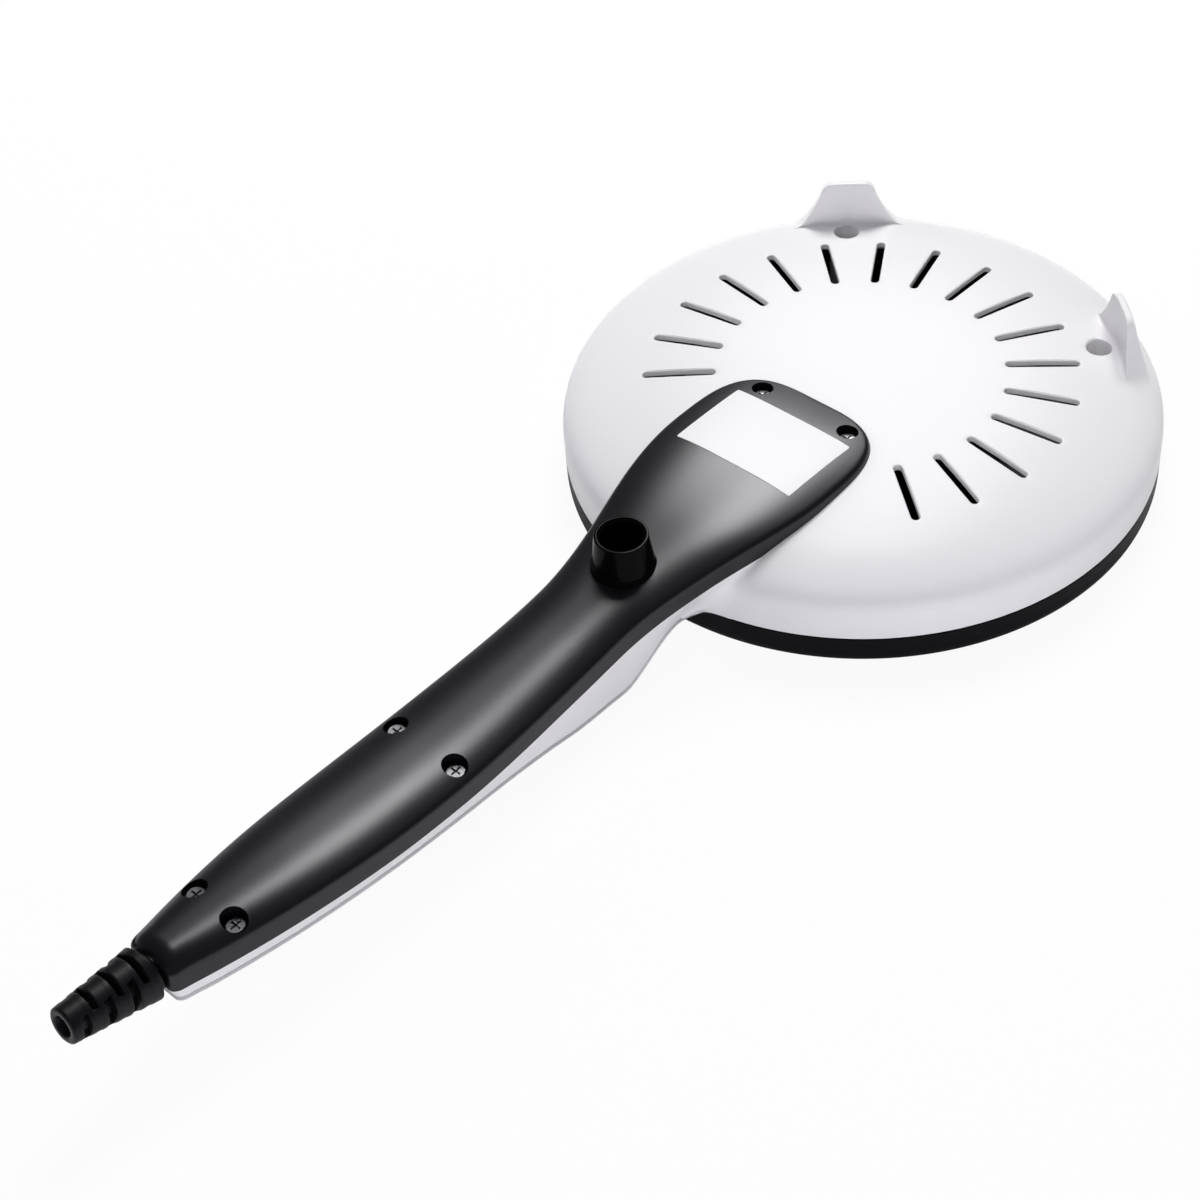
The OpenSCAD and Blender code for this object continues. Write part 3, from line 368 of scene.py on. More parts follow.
meet_angle = np.arcsin(np.clip((fin_outer_r(meet_z) / shell_r) ** (dome_power_r / 2), 0, 1))
leave = meet_angle + (np.pi / 2 - meet_angle) * 0.03 * out_fillet
rows.append(bend(on_outer(foot_z), on_outer(meet_z), on_flank(leave), 6)[1:])
rows += run(on_flank, leave, np.pi / 2 - 1e-6, np.linspace(0.05, 1, 22))

# %% The side wall, the lip over the gasket and the inside back to the pole
lip_w, lip_z = 1.1, 1.4
inner_r, inner_h = shell_r - shell_wall, shell_h - shell_wall
side = rounded([[shell_r, shell_edge_h], [shell_r, lip_gap], [shell_r - lip_w, lip_gap],
                [shell_r - lip_w, lip_z], [inner_r, lip_z], [inner_r, shell_edge_h]],
               [0, 0.45, 0.2, 0.1, 0.2, 0])
p = np.linspace(np.pi / 2, 0.35, 14)
roof = np.c_[inner_r * np.sin(p) ** (2 / dome_power_r),
             shell_edge_h + (inner_h - shell_edge_h) * np.cos(p) ** (2 / dome_power_z)]
end_r, end_z = roof[-1]
r = np.linspace(end_r * 0.8, 0, 6)
crown = np.c_[r, end_z + (inner_h - end_z) * (1 - (r / end_r) ** 2)]
rows += [at(r, z)[None] for r, z in np.concatenate([side[1:], roof, crown])]
section = np.concatenate(rows)
r, z = section[..., 0], section[..., 1]
shell = solid("white_shell", np.stack([r * np.cos(theta), r * np.sin(theta), z], -1))
print("dome grid", section.shape)

# %% [markdown]
# ## The handle's plan
# Seen from above the handle is a rounded end over the shell, a waist, a grip and a long taper. The
# cover and the trough share this outline. Each of their grids has a column for every outline point,
# which runs from the outline to a point on the middle line. Straight cross sections would be
# simpler, but their edge roundings couldn't follow the outline round the wide end and the tip.

# %% Half width and seam
wide_half_w, neck_half_w, grip_half_w, tip_half_w = 33.4, 18.3, 19.9, 9.6
wide_end_s, wide_s, neck_s, grip_s, tip_s = 22.3, 60.0, 146.0, 222.0, 325.0
end_power, taper_power = 3.4, 2.36
seam_line = [[20, 21.5], [70, 22], [100, 20.4], [120, 17.4], [142, 14.0], [165, 11.7], [205, 9.9],
             [240, 10.9], [280, 14], [325, 17.3]]


def half_width(s):
    """Half width of the handle at s: a rounded wide end, eased waist and grip, then the taper."""
    end = np.clip((wide_s - s) / (wide_s - wide_end_s), 0, 1)
    end = wide_half_w * (1 - end**end_power) ** (1 / end_power)
    waist = wide_half_w + (neck_half_w - wide_half_w) * ease((s - wide_s) / (neck_s - wide_s))
    grip = neck_half_w + (grip_half_w - neck_half_w) * ease((s - neck_s) / (grip_s - neck_s))
    way = np.clip((s - grip_s) / (tip_s - grip_s), 0, 1)
    taper = grip_half_w - (grip_half_w - tip_half_w) * way**taper_power
    return np.select([s < wide_s, s < neck_s, s < grip_s], [end, waist, grip], taper)


def seam_z(s):
    """Height of the seam between the white trough and the black cover."""
    return curve(seam_line, s)


# %% Outline and middle line
tip_corner_l, tip_corner_w = 4, 3
spine_wide, spine_trough, spine_tip, spine_share = 30, 6, 12, 0.55


def handle_plan(inset=0.0, start=None):
    """Closed outline (s, y) and, for each of its points, the place on the middle line."""
    a = np.linspace(0, np.pi / 2, 34)
    s_wide = wide_s - (wide_s - wide_end_s - inset) * np.cos(a) ** (2 / end_power)
    y_wide = (wide_half_w - inset) * np.sin(a) ** (2 / end_power)
    s_side = np.linspace(wide_s, tip_s - tip_corner_l, 92)[1:]
    y_side = half_width(s_side) - inset
    a = np.linspace(0, np.pi / 2, 8)[1:]
    s_tip = tip_s - inset - tip_corner_l + tip_corner_l * np.sin(a)
    y_tip = y_side[-1] - tip_corner_w + tip_corner_w * np.cos(a)
    y_end = np.linspace(y_tip[-1], 0, 7)[1:]
    before = s_side < s_tip[0] - 1
    s = np.concatenate([s_wide, s_side[before], s_tip, np.full(6, s_tip[-1])])
    y = np.concatenate([y_wide, y_side[before], y_tip, y_end])
    low = wide_end_s + spine_wide
    if start is not None:
        keep, low = s > start, start + spine_trough
        y = np.concatenate([[0], [np.interp(start, s, y)], y[keep]])
        s = np.concatenate([[start, start], s[keep]])
    middle = np.minimum(np.where(s < low, low + spine_share * (s - low), s), tip_s - spine_tip)
    ring = lambda v: np.concatenate([v, v[-2:0:-1]])
    return ring(s), np.concatenate([y, -y[-2:0:-1]]), ring(middle)


print("handle: half width", np.round(half_width(np.array([wide_s, neck_s, grip_s, tip_s])), 1))

# %% [markdown]
# ## The white trough under the handle
# Below the seam the handle is white, in one moulding with the dome: a trough with drawn-in sides
# and a gentle belly. An extruded outline would have upright sides, so it is one closed grid
# instead, whose rows sink and draw in together. The same grid, moved in by the wall, is its hollow.

# %% The trough
rim_draft, keel_draft, keel_edge_r, keel_belly = 0.66, 0.88, 2.8, 0.5
trough_start, root_blend, least_edge_r, keel_lip = 74.0, 28, 1.0, 1 / 6
keel_line = [[70, -0.5], [104, -0.4], [110, 1.5], [116, 3.6], [122, 3.4], [129, 0.4], [135, -4.0],
             [141, -7.4], [150, -7.4], [165, -6.4], [180, -3.6], [200, -0.8], [240, 2.5], [280, 6],
             [325, 10]]


def draft(s):
    """Share of the seam's width that is left at the lower edge."""
    return rim_draft + (keel_draft - rim_draft) * ease((s - shell_r) / root_blend)


def trough_body(name, inset=0.0, lift=0.0):
    """A closed body: side = outline * (1 - (1 - draft) t), edge = a quarter circle, and a belly
    keel_belly * (1 - (1 - t)^2) deep. lift raises its top, for a body that cuts."""
    s, y, mid = handle_plan(inset, trough_start + inset * 3)
    reach = np.hypot(s - mid, y)
    seam, keel, narrow = seam_z(s), curve(keel_line, s) + inset, draft(s)
    edge_r = max(keel_edge_r - inset, least_edge_r)
    corner_z = keel + keel_belly + edge_r

    def moved_in(share, by=0.0):
        """A share of the way from the middle line to the outline, less some millimetres."""
        return np.where(reach > 0, share - np.minimum(by / np.maximum(reach, 1e-6), share), 0)

    row = lambda part, z: np.stack([-(mid + (s - mid) * part), y * part, z + 0 * s], -1)
    belly = lambda t: corner_z - edge_r - keel_belly * (1 - (1 - t) ** 2)
    rows = [row(moved_in(1 - (1 - narrow) * t), seam + (corner_z - seam) * t)
            for t in np.linspace(0, 1, 8)]
    rows += [row(moved_in(narrow, edge_r * (1 - math.cos(a))), corner_z - edge_r * math.sin(a))
             for a in np.radians(np.linspace(0, 90, 9))[1:]]
    # One row goes back out under the rounded edge and leaves a lip there, 0.2 mm thick
    rows.append(row(moved_in(narrow, keel_lip), belly(keel_lip)))
    rows += [row(moved_in(narrow, edge_r) * (1 - t), belly(t)) for t in np.linspace(0, 1, 7)[2:]]
    rows[0][:, 2] += lift
    lid = np.stack([-mid, 0 * s, rows[0][:, 2]], -1)
    return solid(name, np.array([lid] + rows))


trough = trough_body("trough")
cut(trough, trough_body("hollow", shell_wall, 3))
cut(shell, trough, "UNION")
print("shell with its trough:", len(shell.data.polygons), "faces")

# %% [markdown]
# ## The fillets where the trough leaves the dome
# On the real moulding the corner between dome and trough opens into a fan-shaped fillet, wide at
# the bottom and gone at the top. A bevel has one width, so each fillet is a small solid of its own,
# built up level by level and joined to the shell.

# %% The fan-shaped fillets
fan_top_z, fan_power, fan_dome_l, fan_wall_l = 20.2, 2.2, 9.0, 12.0
fan_least, fan_sink, fan_depth = 0.2, 0.03, 1.2


def wall_y(s, z):
    """Half width of the trough's side at height z."""
    seam, foot = seam_z(s), curve(keel_line, s) + keel_belly + keel_edge_r
    return half_width(s) * (1 - (1 - draft(s)) * np.clip((seam - z) / (seam - foot), 0, 1))


def fan_fillet(side):
    """Levels of a corner filler: a parabola from a on the dome over the corner c to b on the
    trough's side, closed inside both. Its reach falls as 1 - (z / top)^power."""
    z = np.linspace(lip_gap + 0.02, fan_top_z, 30)
    u = np.clip((z - shell_edge_h) / (shell_h - shell_edge_h), 0, 1)
    r = shell_r * (1 - u**dome_power_z) ** (1 / dome_power_r)
    s = r
    for _ in range(2):
        s = np.sqrt(r**2 - wall_y(s, z) ** 2)
    y = wall_y(s, z)
    share = 1 - (z / fan_top_z) ** fan_power
    along_wall = np.minimum(fan_wall_l * share + fan_least, 1.0 + 2.2 * z)
    angle = np.arctan2(y, s) + (fan_dome_l * share + fan_least) / r
    a = np.stack([(r - fan_sink) * np.cos(angle), (r - fan_sink) * np.sin(angle)], -1)
    b = np.stack([s + along_wall, wall_y(s + along_wall, z) - fan_sink], -1)
    c = np.stack([s, y], -1)
    inner = [b - [0, fan_depth], c - fan_depth, a * (1 - fan_depth / r)[:, None]]
    ring = np.concatenate([bend(a, c, b, 12), inner]).transpose(1, 0, 2)
    levels = np.broadcast_to(z[:, None, None], ring.shape[:2] + (1,))
    grid = np.concatenate([-ring[..., :1], side * ring[..., 1:], levels], -1)
    caps = [end.mean(1, keepdims=True) + 0 * end for end in (grid[:1], grid[-1:])]
    return solid("fan", np.concatenate([caps[0], grid, caps[1]]))


for side in (-1, 1):
    cut(shell, fan_fillet(side), "UNION")
print("with its fillets:", len(shell.data.polygons), "faces")

# %% [markdown]
# ## Air slots
# The real dome lets the heat out through seventeen slots that stand round it like rays, each with
# a soft lip. A bevel after the cut would round the wall's inside too. So each tool is a rounded
# bar whose outline widens near the dome's surface, and all of them are cut in one step.

# %% The slots
slot_count, slot_pitch, slot_in_r, slot_out_r, slot_w, slot_lip = 17, 16.0, 50.3, 76.1, 3.0, 0.45


def slot_tool(turn):
    """A rounded bar through the dome, turned to its place: each level is (widening, height over the
    dome), a quarter circle of the lip's radius at the surface."""
    a = np.radians(np.linspace(-90, 90, 13))
    half, span = slot_w / 2, slot_out_r - slot_in_r - slot_w
    centre = (slot_in_r + slot_out_r) / 2
    out_x, out_y = np.concatenate([[np.cos(a), np.sin(a)], [-np.cos(a), -np.sin(a)]], 1)
    end = np.repeat([span / 2, -span / 2], len(a))
    levels = [(0, -7), (0, -slot_lip)]
    levels += [(slot_lip * (1 - math.cos(v)), -slot_lip * (1 - math.sin(v)))
               for v in np.radians([25, 50, 70, 90])]
    rows = []
    for grow, drop in levels + [(slot_lip + 0.3, 1.0)]:
        x, y = centre + (end + half * out_x) + out_x * grow, half * out_y + out_y * grow
        rows.append(np.stack([x, y, dome_z(np.hypot(x, y)) + drop], -1))
    cap = lambda row: row * [0, 0, 1] + [centre, 0, 0]
    c, s = math.cos(turn), math.sin(turn)
    grid = np.array([cap(rows[0])] + rows + [cap(rows[-1])])
    return solid("slot", grid @ np.array([[c, s, 0], [-s, c, 0], [0, 0, 1]]))


turns = np.radians((np.arange(slot_count) - (slot_count - 1) / 2) * slot_pitch)
cut(shell, joined("slots", [slot_tool(turn) for turn in turns]))
print(slot_count, "slots cut")

# %% [markdown]
# ## Recesses, screw tubes and the holes underneath
# Two screws hold the plate from inside tubes, each under a recess with a soft rim. Two more tubes
# of the cover pass through the shell's roof. The trough has a window for the rocker switch, with a
# shallow seat for its flange, and a hole for the lamp. All are turned or boxed tools: a hole is
# easiest to move while it is a solid of its own.

# %% Recesses over the plate screws, with their tubes inside
post_r, post_angle, post_top, recess_r, tube_wall = 84.8, 41.3, 3.8, 4.5, 1.7
recess_flare, recess_rise, tube_low, tube_high, roof_low, roof_high = 2.4, 0.9, 1.0, 21.5, 14, 27
roof_hole_r, roof_hole_s, roof_hole_y = 5.5, 30.6, 18.5
top = dome_z(post_r)
bore = rounded([(0, post_top), (recess_r, post_top), (recess_r, top),
                (recess_r + recess_flare, top + recess_rise), (0, 40)], [0, 0.3, 0.9, 0, 0])
for side in (-1, 1):
    turn = side * math.radians(post_angle)
    spot = (post_r * math.cos(turn), post_r * math.sin(turn))
    cut(shell, rod("tube", recess_r + tube_wall, tube_low, tube_high, spot), "UNION")
    cut(shell, revolve("recess", bore, spot, 48))
for side in (-1, 1):
    spot = (-roof_hole_s, side * roof_hole_y)
    cut(shell, rod("tube_hole", roof_hole_r, roof_low, roof_high, spot))
print("recess floor", post_top, "mm, rim", round(float(top), 1), "mm")


# %% Tools that stand on the sloping keel
def at_keel(points, s):
    """Turns points (along the handle to the plate, across, into the trough) to the keel at s."""
    rise = math.atan((curve(keel_line, s + 10.0) - curve(keel_line, s - 10.0)) / 20)
    c, n = math.cos(rise), math.sin(rise)
    x, y, z = points[..., 0], points[..., 1], points[..., 2]
    return np.stack([x * c + z * n - s, y, z * c - x * n + float(curve(keel_line, s))], -1)


def rounded_box(name, size, high, corner, s, low=-5):
    """A bar with rounded upright corners between two depths, standing on the keel at s."""
    a = np.radians(np.linspace(0, 90, 7))
    x0, y0 = size[0] / 2 - corner, size[1] / 2 - corner
    turned = ((1, 1, 0), (-1, 1, np.pi / 2), (-1, -1, np.pi), (1, -1, 3 * np.pi / 2))
    ring = np.concatenate([np.stack([x0 * i + corner * np.cos(a + k),
                                     y0 * j + corner * np.sin(a + k)], -1) for i, j, k in turned])
    rows = [np.c_[ring * wide, np.full(len(ring), h)]
            for wide, h in ((0, low), (1, low), (1, high), (0, high))]
    return solid(name, at_keel(np.array(rows), s))


# %% The switch's window and the lamp's hole
switch_s, switch_flange, switch_body, lamp_s, lens_r = 166.0, (21.0, 15.0), (18.8, 12.8), 194.0, 2.5
play, hole_depth, seat_depth = 0.4, 9, 0.9
window, seat = [[v + play for v in size] for size in (switch_body, switch_flange)]
lens_hole = 2 * lens_r + play / 2
cut(shell, rounded_box("window", window, hole_depth, 0.6, switch_s))
cut(shell, rounded_box("seat", seat, seat_depth, 0.9, switch_s))
cut(shell, rounded_box("lamp_hole", (lens_hole, lens_hole), hole_depth, lens_r + 0.099, lamp_s))
settle(shell, "body_shell", 38)

# %% [markdown]
# ## The black cover
# The real lid has a steep side wall, a crease and an arched crown. Its crown could be a subdivided
# cage, but that pulls in from its measures. Here each column climbs the wall, rounds the crease and
# runs over the crown to the middle line, and the crown's height is a function of the place in plan
# alone, so it is smooth wherever the columns run together.

# %% The crown
wall_draft, crown_wide_power, crown_grip_power, tip_reach = 0.7, 3.5, 2.8, 8.0
crown_line = [[20, 29.6], [37, 30.5], [69, 31.7], [95, 30.8], [123, 27.3], [160, 22.9], [205, 20.7],
              [240, 21.8], [280, 25], [325, 28.4]]
crease_line = [[20, 28.2], [70, 28.3], [95, 27.2], [123, 23.5], [160, 18.8], [205, 16.8],
               [240, 17.8], [280, 21.1], [325, 24.4]]


def crown_z(s, y):
    """Height of the crown = crease + (top - crease) * (1 - rho^power). rho is 0 on the middle line
    and 1 at the crease: |y| / half width along the handle, a norm of the outline's own power round
    the wide end, and a fourth-power norm of that and of the way to the tip near the tip."""
    x_share = np.clip((wide_s - s) / (wide_s - wide_end_s - wall_draft), 0, 2)
    side = np.abs(y) / np.maximum(half_width(np.clip(s, wide_s, tip_s)) - wall_draft, 1.0)
    rho = (x_share**end_power + side**end_power) ** (1 / end_power)
    tip_share = np.clip((s - tip_s + tip_reach) / (tip_reach - wall_draft), 0, 2)
    rho = np.minimum((rho**4 + tip_share**4) ** 0.25, 1)
    power = crown_wide_power + (crown_grip_power - crown_wide_power) * ease((s - 90) / 50)
    crease, top = curve(crease_line, s), curve(crown_line, s)
    return crease + (top - crease) * (1 - rho**power)


# %% The cover's outside and inside
cover_wall, crease_r, over_dome = 2.2, 1.3, 0.03


def cover_body(name, inset=0.0, drop=0.0):
    """A closed body under the cover's face, moved in by inset, whose wall reaches drop below the
    seam."""
    s, y, mid = handle_plan(inset)
    reach = np.hypot(s - mid, y)
    low = np.maximum(seam_z(s), dome_z(np.hypot(s, y)) + over_dome) - drop
    edge, turn = 1 - wall_draft / reach, crease_r / reach
    row = lambda u, z: np.stack([-(mid + (s - mid) * u), y * u, z + 0 * s], -1)
    crown = lambda u: row(u, crown_z(mid + (s - mid) * u, y * u) - inset)
    crease, foot = crown(edge), row(1.0, low)
    wall_top = row(edge + turn * wall_draft / (crease[:, 2] - low), crease[:, 2] - crease_r)
    rows = [row(0.0, low)] + [foot + (wall_top - foot) * t for t in np.linspace(0, 0.85, 5)]
    rows += list(bend(wall_top, crease, crown(edge - turn), 7))
    rows += [crown((edge - turn) * (1 - t)) for t in np.linspace(0, 1, 34)[1:]]
    return solid(name, np.array(rows))


cover = cover_body("black_cover")
cut(cover, cover_body("cover_hollow", cover_wall, 6.0))
print("cover:", len(cover.data.polygons), "faces")

# %% [markdown]
# ## Screw tubes and counterbores
# Six screws hold the lid, each deep in a counterbore whose tube hangs from the crown. The tubes are
# made too long and cut off by a slimmer copy of the cover, so they end in its wall wherever that
# runs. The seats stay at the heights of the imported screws, which are measured from a flatter top.

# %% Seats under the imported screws
top_line = [[20, 29.2], [37, 30.0], [69, 31.2], [95, 30.4], [123, 27.2], [160, 22.9], [205, 20.7],
            [240, 21.8], [280, 25], [325, 28.4]]
screw_places = [(s, side * y) for s, y in ((30.6, 18.5), (215.0, 12.9), (299.5, 8.7))
                for side in (-1, 1)]
counterbore_r, wide_counterbore_r, shank_hole_r, cover_tube_wall = 4.1, 3.75, 1.7, 1.4
head_depth, head_h, seat_floor = 3.7, 2.0, 1.8


def flat_top(s, y):
    """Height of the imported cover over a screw: seam + (top - seam) * (1 - (|y| / half)^n)^(1/n)."""
    n = 6 - 2 * ease((s - 100) / 50)
    share = (1 - (abs(y) / half_width(np.array(s))) ** n) ** (1 / n)
    return float(seam_z(s) + (curve(top_line, s) - seam_z(s)) * share)


# %% Tubes, counterbores and the hole for the hollow foot
tubes, mouths = [], []
for s, y in screw_places:
    seat, top = flat_top(s, y) - head_depth - head_h, float(crown_z(np.array(s), y))
    r = wide_counterbore_r if s < wide_s else counterbore_r
    tubes.append(rod("tube", r + cover_tube_wall, seat - seat_floor, top + 2, (-s, y), 40))
    mouth = rounded([(0, seat), (r, seat), (r, top + 6), (0, top + 6)], [0, 0.3, 0, 0])
    mouths.append(revolve("mouth", mouth, (-s, y), 48))
    mouths.append(rod("shank_hole", shank_hole_r, seat - 8, seat + 1, (-s, y), 24))
tubes = joined("tubes", tubes)
cut(tubes, cover_body("cover_space", 0.4, 16.0), "INTERSECT")
cut(cover, tubes, "UNION")
for mouth in mouths:
    cut(cover, mouth)
rear_foot_s, foot_hole_r = 123.2, 8.8
cut(cover, rod("foot_hole", foot_hole_r, 10, 50, (-rear_foot_s, 0), 64))
settle(cover, "handle_cover", 40)

# %% [markdown]
# ## The hollow rear foot
# The third foot is a tapered tube of glossy plastic with a rounded rim, a small flange on the cover
# and a spigot in its hole. It is open at its top and closed at the bottom of its bore. A turned
# section is the natural way to make it: one line of points holds every radius and height.

# %% The rear foot
foot_r, foot_base_r, foot_bore_r, flange_h = 8.9, 10.9, 7.1, 1.1
spigot_r, spigot_l, flange_l, floor_l = foot_hole_r - 0.1, 4.5, 1.6, 3.0
foot_base = float(curve(top_line, np.array(rear_foot_s)))
foot_profile = rounded([(0, foot_base - spigot_l), (spigot_r, foot_base - spigot_l),
                        (spigot_r, foot_base - flange_l), (foot_base_r + 0.1, foot_base - flange_l),
                        (foot_base_r, foot_base + flange_h - 0.25),
                        (foot_base_r - 0.45, foot_base + flange_h), (foot_r, foot_h),
                        (foot_r - 1.0, foot_h), (foot_r - 1.1, foot_h - 0.4),
                        (foot_bore_r, foot_h - 0.7), (foot_bore_r - 0.1, foot_base - floor_l),
                        (0, foot_base - floor_l)],
                       [0, 0.2, 0, 0, 0.2, 0.1, 0.4, 0.15, 0.1, 0.4, 0.5, 0], 5)
settle(revolve("hollow_foot", foot_profile, (-rear_foot_s, 0), 96), "rear_foot")

# %% [markdown]
# ## The cooking plate
# The real plate is a shallow pan of coated aluminium: a flat face, a slightly crowned edge, a
# rounded lower corner and an upright band that meets the white shell. It is round all over, so it
# is turned from one section too, with many steps round, because its rim is the largest circle here.

# %% The plate
flat_r, band_h, band_edge_r, plate_t, rim_t = 84.0, 10.0, 2.2, 3.0, 2.6
plate_profile = rounded([(0, -plate_depth), (flat_r, -plate_depth),
                         (shell_r - band_edge_r * 0.3, -band_h), (shell_r, -band_h + band_edge_r),
                         (shell_r, 0), (shell_r - rim_t, 0),
                         (shell_r - rim_t, plate_t - plate_depth), (0, plate_t - plate_depth)],
                        [0, 12, 1.5, 1.5, 0.3, 0.3, 2.0, 0], 6)
settle(revolve("pan", plate_profile, (0, 0), 240), "cooking_plate")

# %% [markdown]
# ## The strain relief
# Where the cord leaves, a tapered rubber sleeve with six ring grooves keeps it from kinking. Each
# groove leaves two bridges, which change sides from groove to groove, so the sleeve bends both
# ways. Cutting the grooves out would take a dozen Booleans. Instead the radius is a function of the
# angle and the place along the cord, which gives the sleeve in one grid, closed by its bore.

# %% Measures of the sleeve
relief_z, relief_tilt, relief_l, relief_r, relief_end_r = 20.4, 10.0, 30.5, 9.2, 5.8
relief_collar, relief_rib, relief_end_l, relief_slots = 5.2, 2.1, 1.4, 6
bridge_half, bridge_soft, bridge_sink, rib_round, side_groove_extra = 4.75, 0.2, 0.1, 0.5, 0.35
collar_gap, collar_sink, collar_lift, mouth_round, mouth_flare = 1.7, 2.3, 0.3, 0.6, 0.5
plug_in, plug_r, plug_neck_r, plug_l, cord_bore_r, core_wall = 5.2, 5.8, 4.8, 1.8, 3.3, 0.9
core_r = cord_bore_r + core_wall
groove = np.arange(relief_slots)
pitch = (relief_l - relief_collar - relief_end_l) / relief_slots
start = relief_collar + pitch * groove - side_groove_extra * (groove % 2)
stop = start + pitch - relief_rib + 2 * side_groove_extra * (groove % 2)
print("groove pitch", round(pitch, 2), "mm")


# %% The sleeve's radius
def rounding(away, radius):
    """How far a rounded edge stands back at the distance away from it: r (1 - sqrt(1 - u^2)) with
    u = 1 - away / r."""
    return radius * (1 - np.sqrt(1 - np.clip(1 - away / radius, 0, 1) ** 2))


def relief_radius(t, turn):
    """Radius = cone, less a rounding where a rib meets an open groove. In a groove it is the core's
    radius, or nearly the cone's where a bridge crosses it, with a smooth step between the two."""
    cone = relief_r + (relief_end_r - relief_r) * t / relief_l
    r = cone + 0 * turn
    for k in groove:
        across = np.where(k % 2 == 0, np.abs(np.cos(turn)), np.abs(np.sin(turn))) * cone
        opened = ease((across - bridge_half + bridge_soft) / (2 * bridge_soft))
        away = np.maximum(start[k] - t, t - stop[k])
        floor = (cone - bridge_sink) + (core_r - cone + bridge_sink) * opened
        r = np.where(away < -0.02, floor, r - rounding(away, rib_round) * opened)
    away = t - collar_gap
    r = np.where(away < -0.02, cone - collar_sink, r - rounding(away, rib_round))
    return r - rounding(relief_l - t, mouth_round)


# %% The sleeve's grid
turn = np.linspace(0, 2 * np.pi, 180, endpoint=False)[None]
edges = np.concatenate([start, stop, [collar_gap]])
near = [edges + way * rib_round * v for way in (1, -1) for v in (0, 0.08, 0.25, 0.5, 0.75, 1)]
t = np.round(np.concatenate([np.linspace(0, relief_l, 70)] + near), 3)
t = np.unique(np.clip(t, 0, relief_l))[:, None]
tilt = math.radians(relief_tilt)


def ring(r, z):
    """A ring of points round the sleeve's axis."""
    return np.stack([r * np.cos(turn), r * np.sin(turn), z + 0 * turn], -1)


# The collar is cut aslant, so that it lies flat on the handle's upright end
sleeve = ring(relief_radius(t, turn), t)
lift = (collar_lift + sleeve[..., 0] * math.sin(tilt)) / math.cos(tilt)
sleeve[..., 2] += np.clip(1 - t / relief_collar, 0, 1) * lift
neck = [(cord_bore_r, -plug_in), (plug_r, -plug_in), (plug_r, plug_l - plug_in),
        (plug_neck_r, plug_l - plug_in), (plug_neck_r, -0.2)]
bore = [(cord_bore_r + mouth_flare, relief_l), (cord_bore_r, relief_l - mouth_flare),
        (cord_bore_r, relief_l * 0.5), (cord_bore_r, -plug_in)]
grid = np.concatenate([ring(*v) for v in neck] + [sleeve] + [ring(*v) for v in bore])

# %% The sleeve in its place, tilted up at the handle's end
c, n = math.cos(tilt - np.pi / 2), math.sin(tilt - np.pi / 2)
grid = np.stack([grid[..., 0] * c + grid[..., 2] * n - tip_s, grid[..., 1],
                 grid[..., 2] * c - grid[..., 0] * n + relief_z], -1)
settle(solid("cord_sleeve", grid), "strain_relief", 50)

# %% [markdown]
# ## The blank label
# The real label is a white film with rounded corners, stuck on the curved lid. Here it stays
# blank. A patch of another colour would have no edge, so it is a thin sheet: drawn flat above the
# cover, pressed onto it with Shrinkwrap and thickened with Solidify, so it follows the lid.

# %% The label, drawn flat
label_l, label_w, label_s, label_corner = 32.3, 48.7, 36.6, 0.5


def label_sheet(above=45.0):
    """A flat grid whose border is a rounded rectangle: points in a corner square that lie farther
    than the corner's radius from its centre are drawn in to that radius."""
    u, v = np.meshgrid(np.linspace(-1, 1, 49), np.linspace(-1, 1, 73), indexing="ij")
    flat = np.stack([u * label_l / 2, v * label_w / 2], -1)
    square = np.array([label_l, label_w]) / 2 - label_corner
    past = np.abs(flat) - square
    far = np.maximum(np.hypot(*np.maximum(past, 0).T).T, label_corner)[..., None]
    drawn_in = np.sign(flat) * (square + past * label_corner / far)
    flat = np.where((past > 0).all(-1, keepdims=True), drawn_in, flat)
    points = np.dstack([flat - [label_s + label_l / 2, 0], np.full_like(u, above)])
    index = np.arange(u.size).reshape(u.shape)
    a, b = index[:-1], index[1:]
    quads = np.stack([a[:, :-1], b[:, :-1], b[:, 1:], a[:, 1:]], -1).reshape(-1, 4)
    mesh = bpy.data.meshes.new("label")
    mesh.from_pydata(to_frame(points.reshape(-1, 3)).tolist(), [], quads.tolist())
    return new_object("label_film", mesh)


# %% The label, pressed onto the cover
label_top, label_t = 0.15, 0.13
label = label_sheet()
modifier(label, "SHRINKWRAP", target=cover, wrap_method="PROJECT", use_project_z=True,
         use_negative_direction=True, use_positive_direction=False, offset=label_top * MM)
modifier(label, "SOLIDIFY", thickness=label_t * MM, offset=-1)
bake(label)
settle(label, "rating_label")


# %% [markdown]
# ## Shader maths
# A finish is a graph of nodes. Wiring it by hand in the editor works once, but twenty-eight
# finishes want a recipe. A small class wraps one output of a node, so that shader maths reads like
# ordinary arithmetic, and one method adds any other node.

# %% Values and graphs
class Value:
    """One output of a shader node, with arithmetic that adds Math nodes."""

    def __init__(self, graph, socket):
        self.graph, self.socket = graph, socket

    def output(self, name):
        """Another output of the same node."""
        return Value(self.graph, self.socket.node.outputs[name])

    def maths(self, operation, a, b):
        """A Math node on two values or numbers."""
        return self.graph.node("ShaderNodeMath", {"operation": operation}, {0: a, 1: b})

    __add__ = __radd__ = lambda self, other: self.maths("ADD", self, other)
    __mul__ = __rmul__ = lambda self, other: self.maths("MULTIPLY", self, other)
    __sub__ = lambda self, other: self.maths("SUBTRACT", self, other)
    __rsub__ = lambda self, other: self.maths("SUBTRACT", other, self)


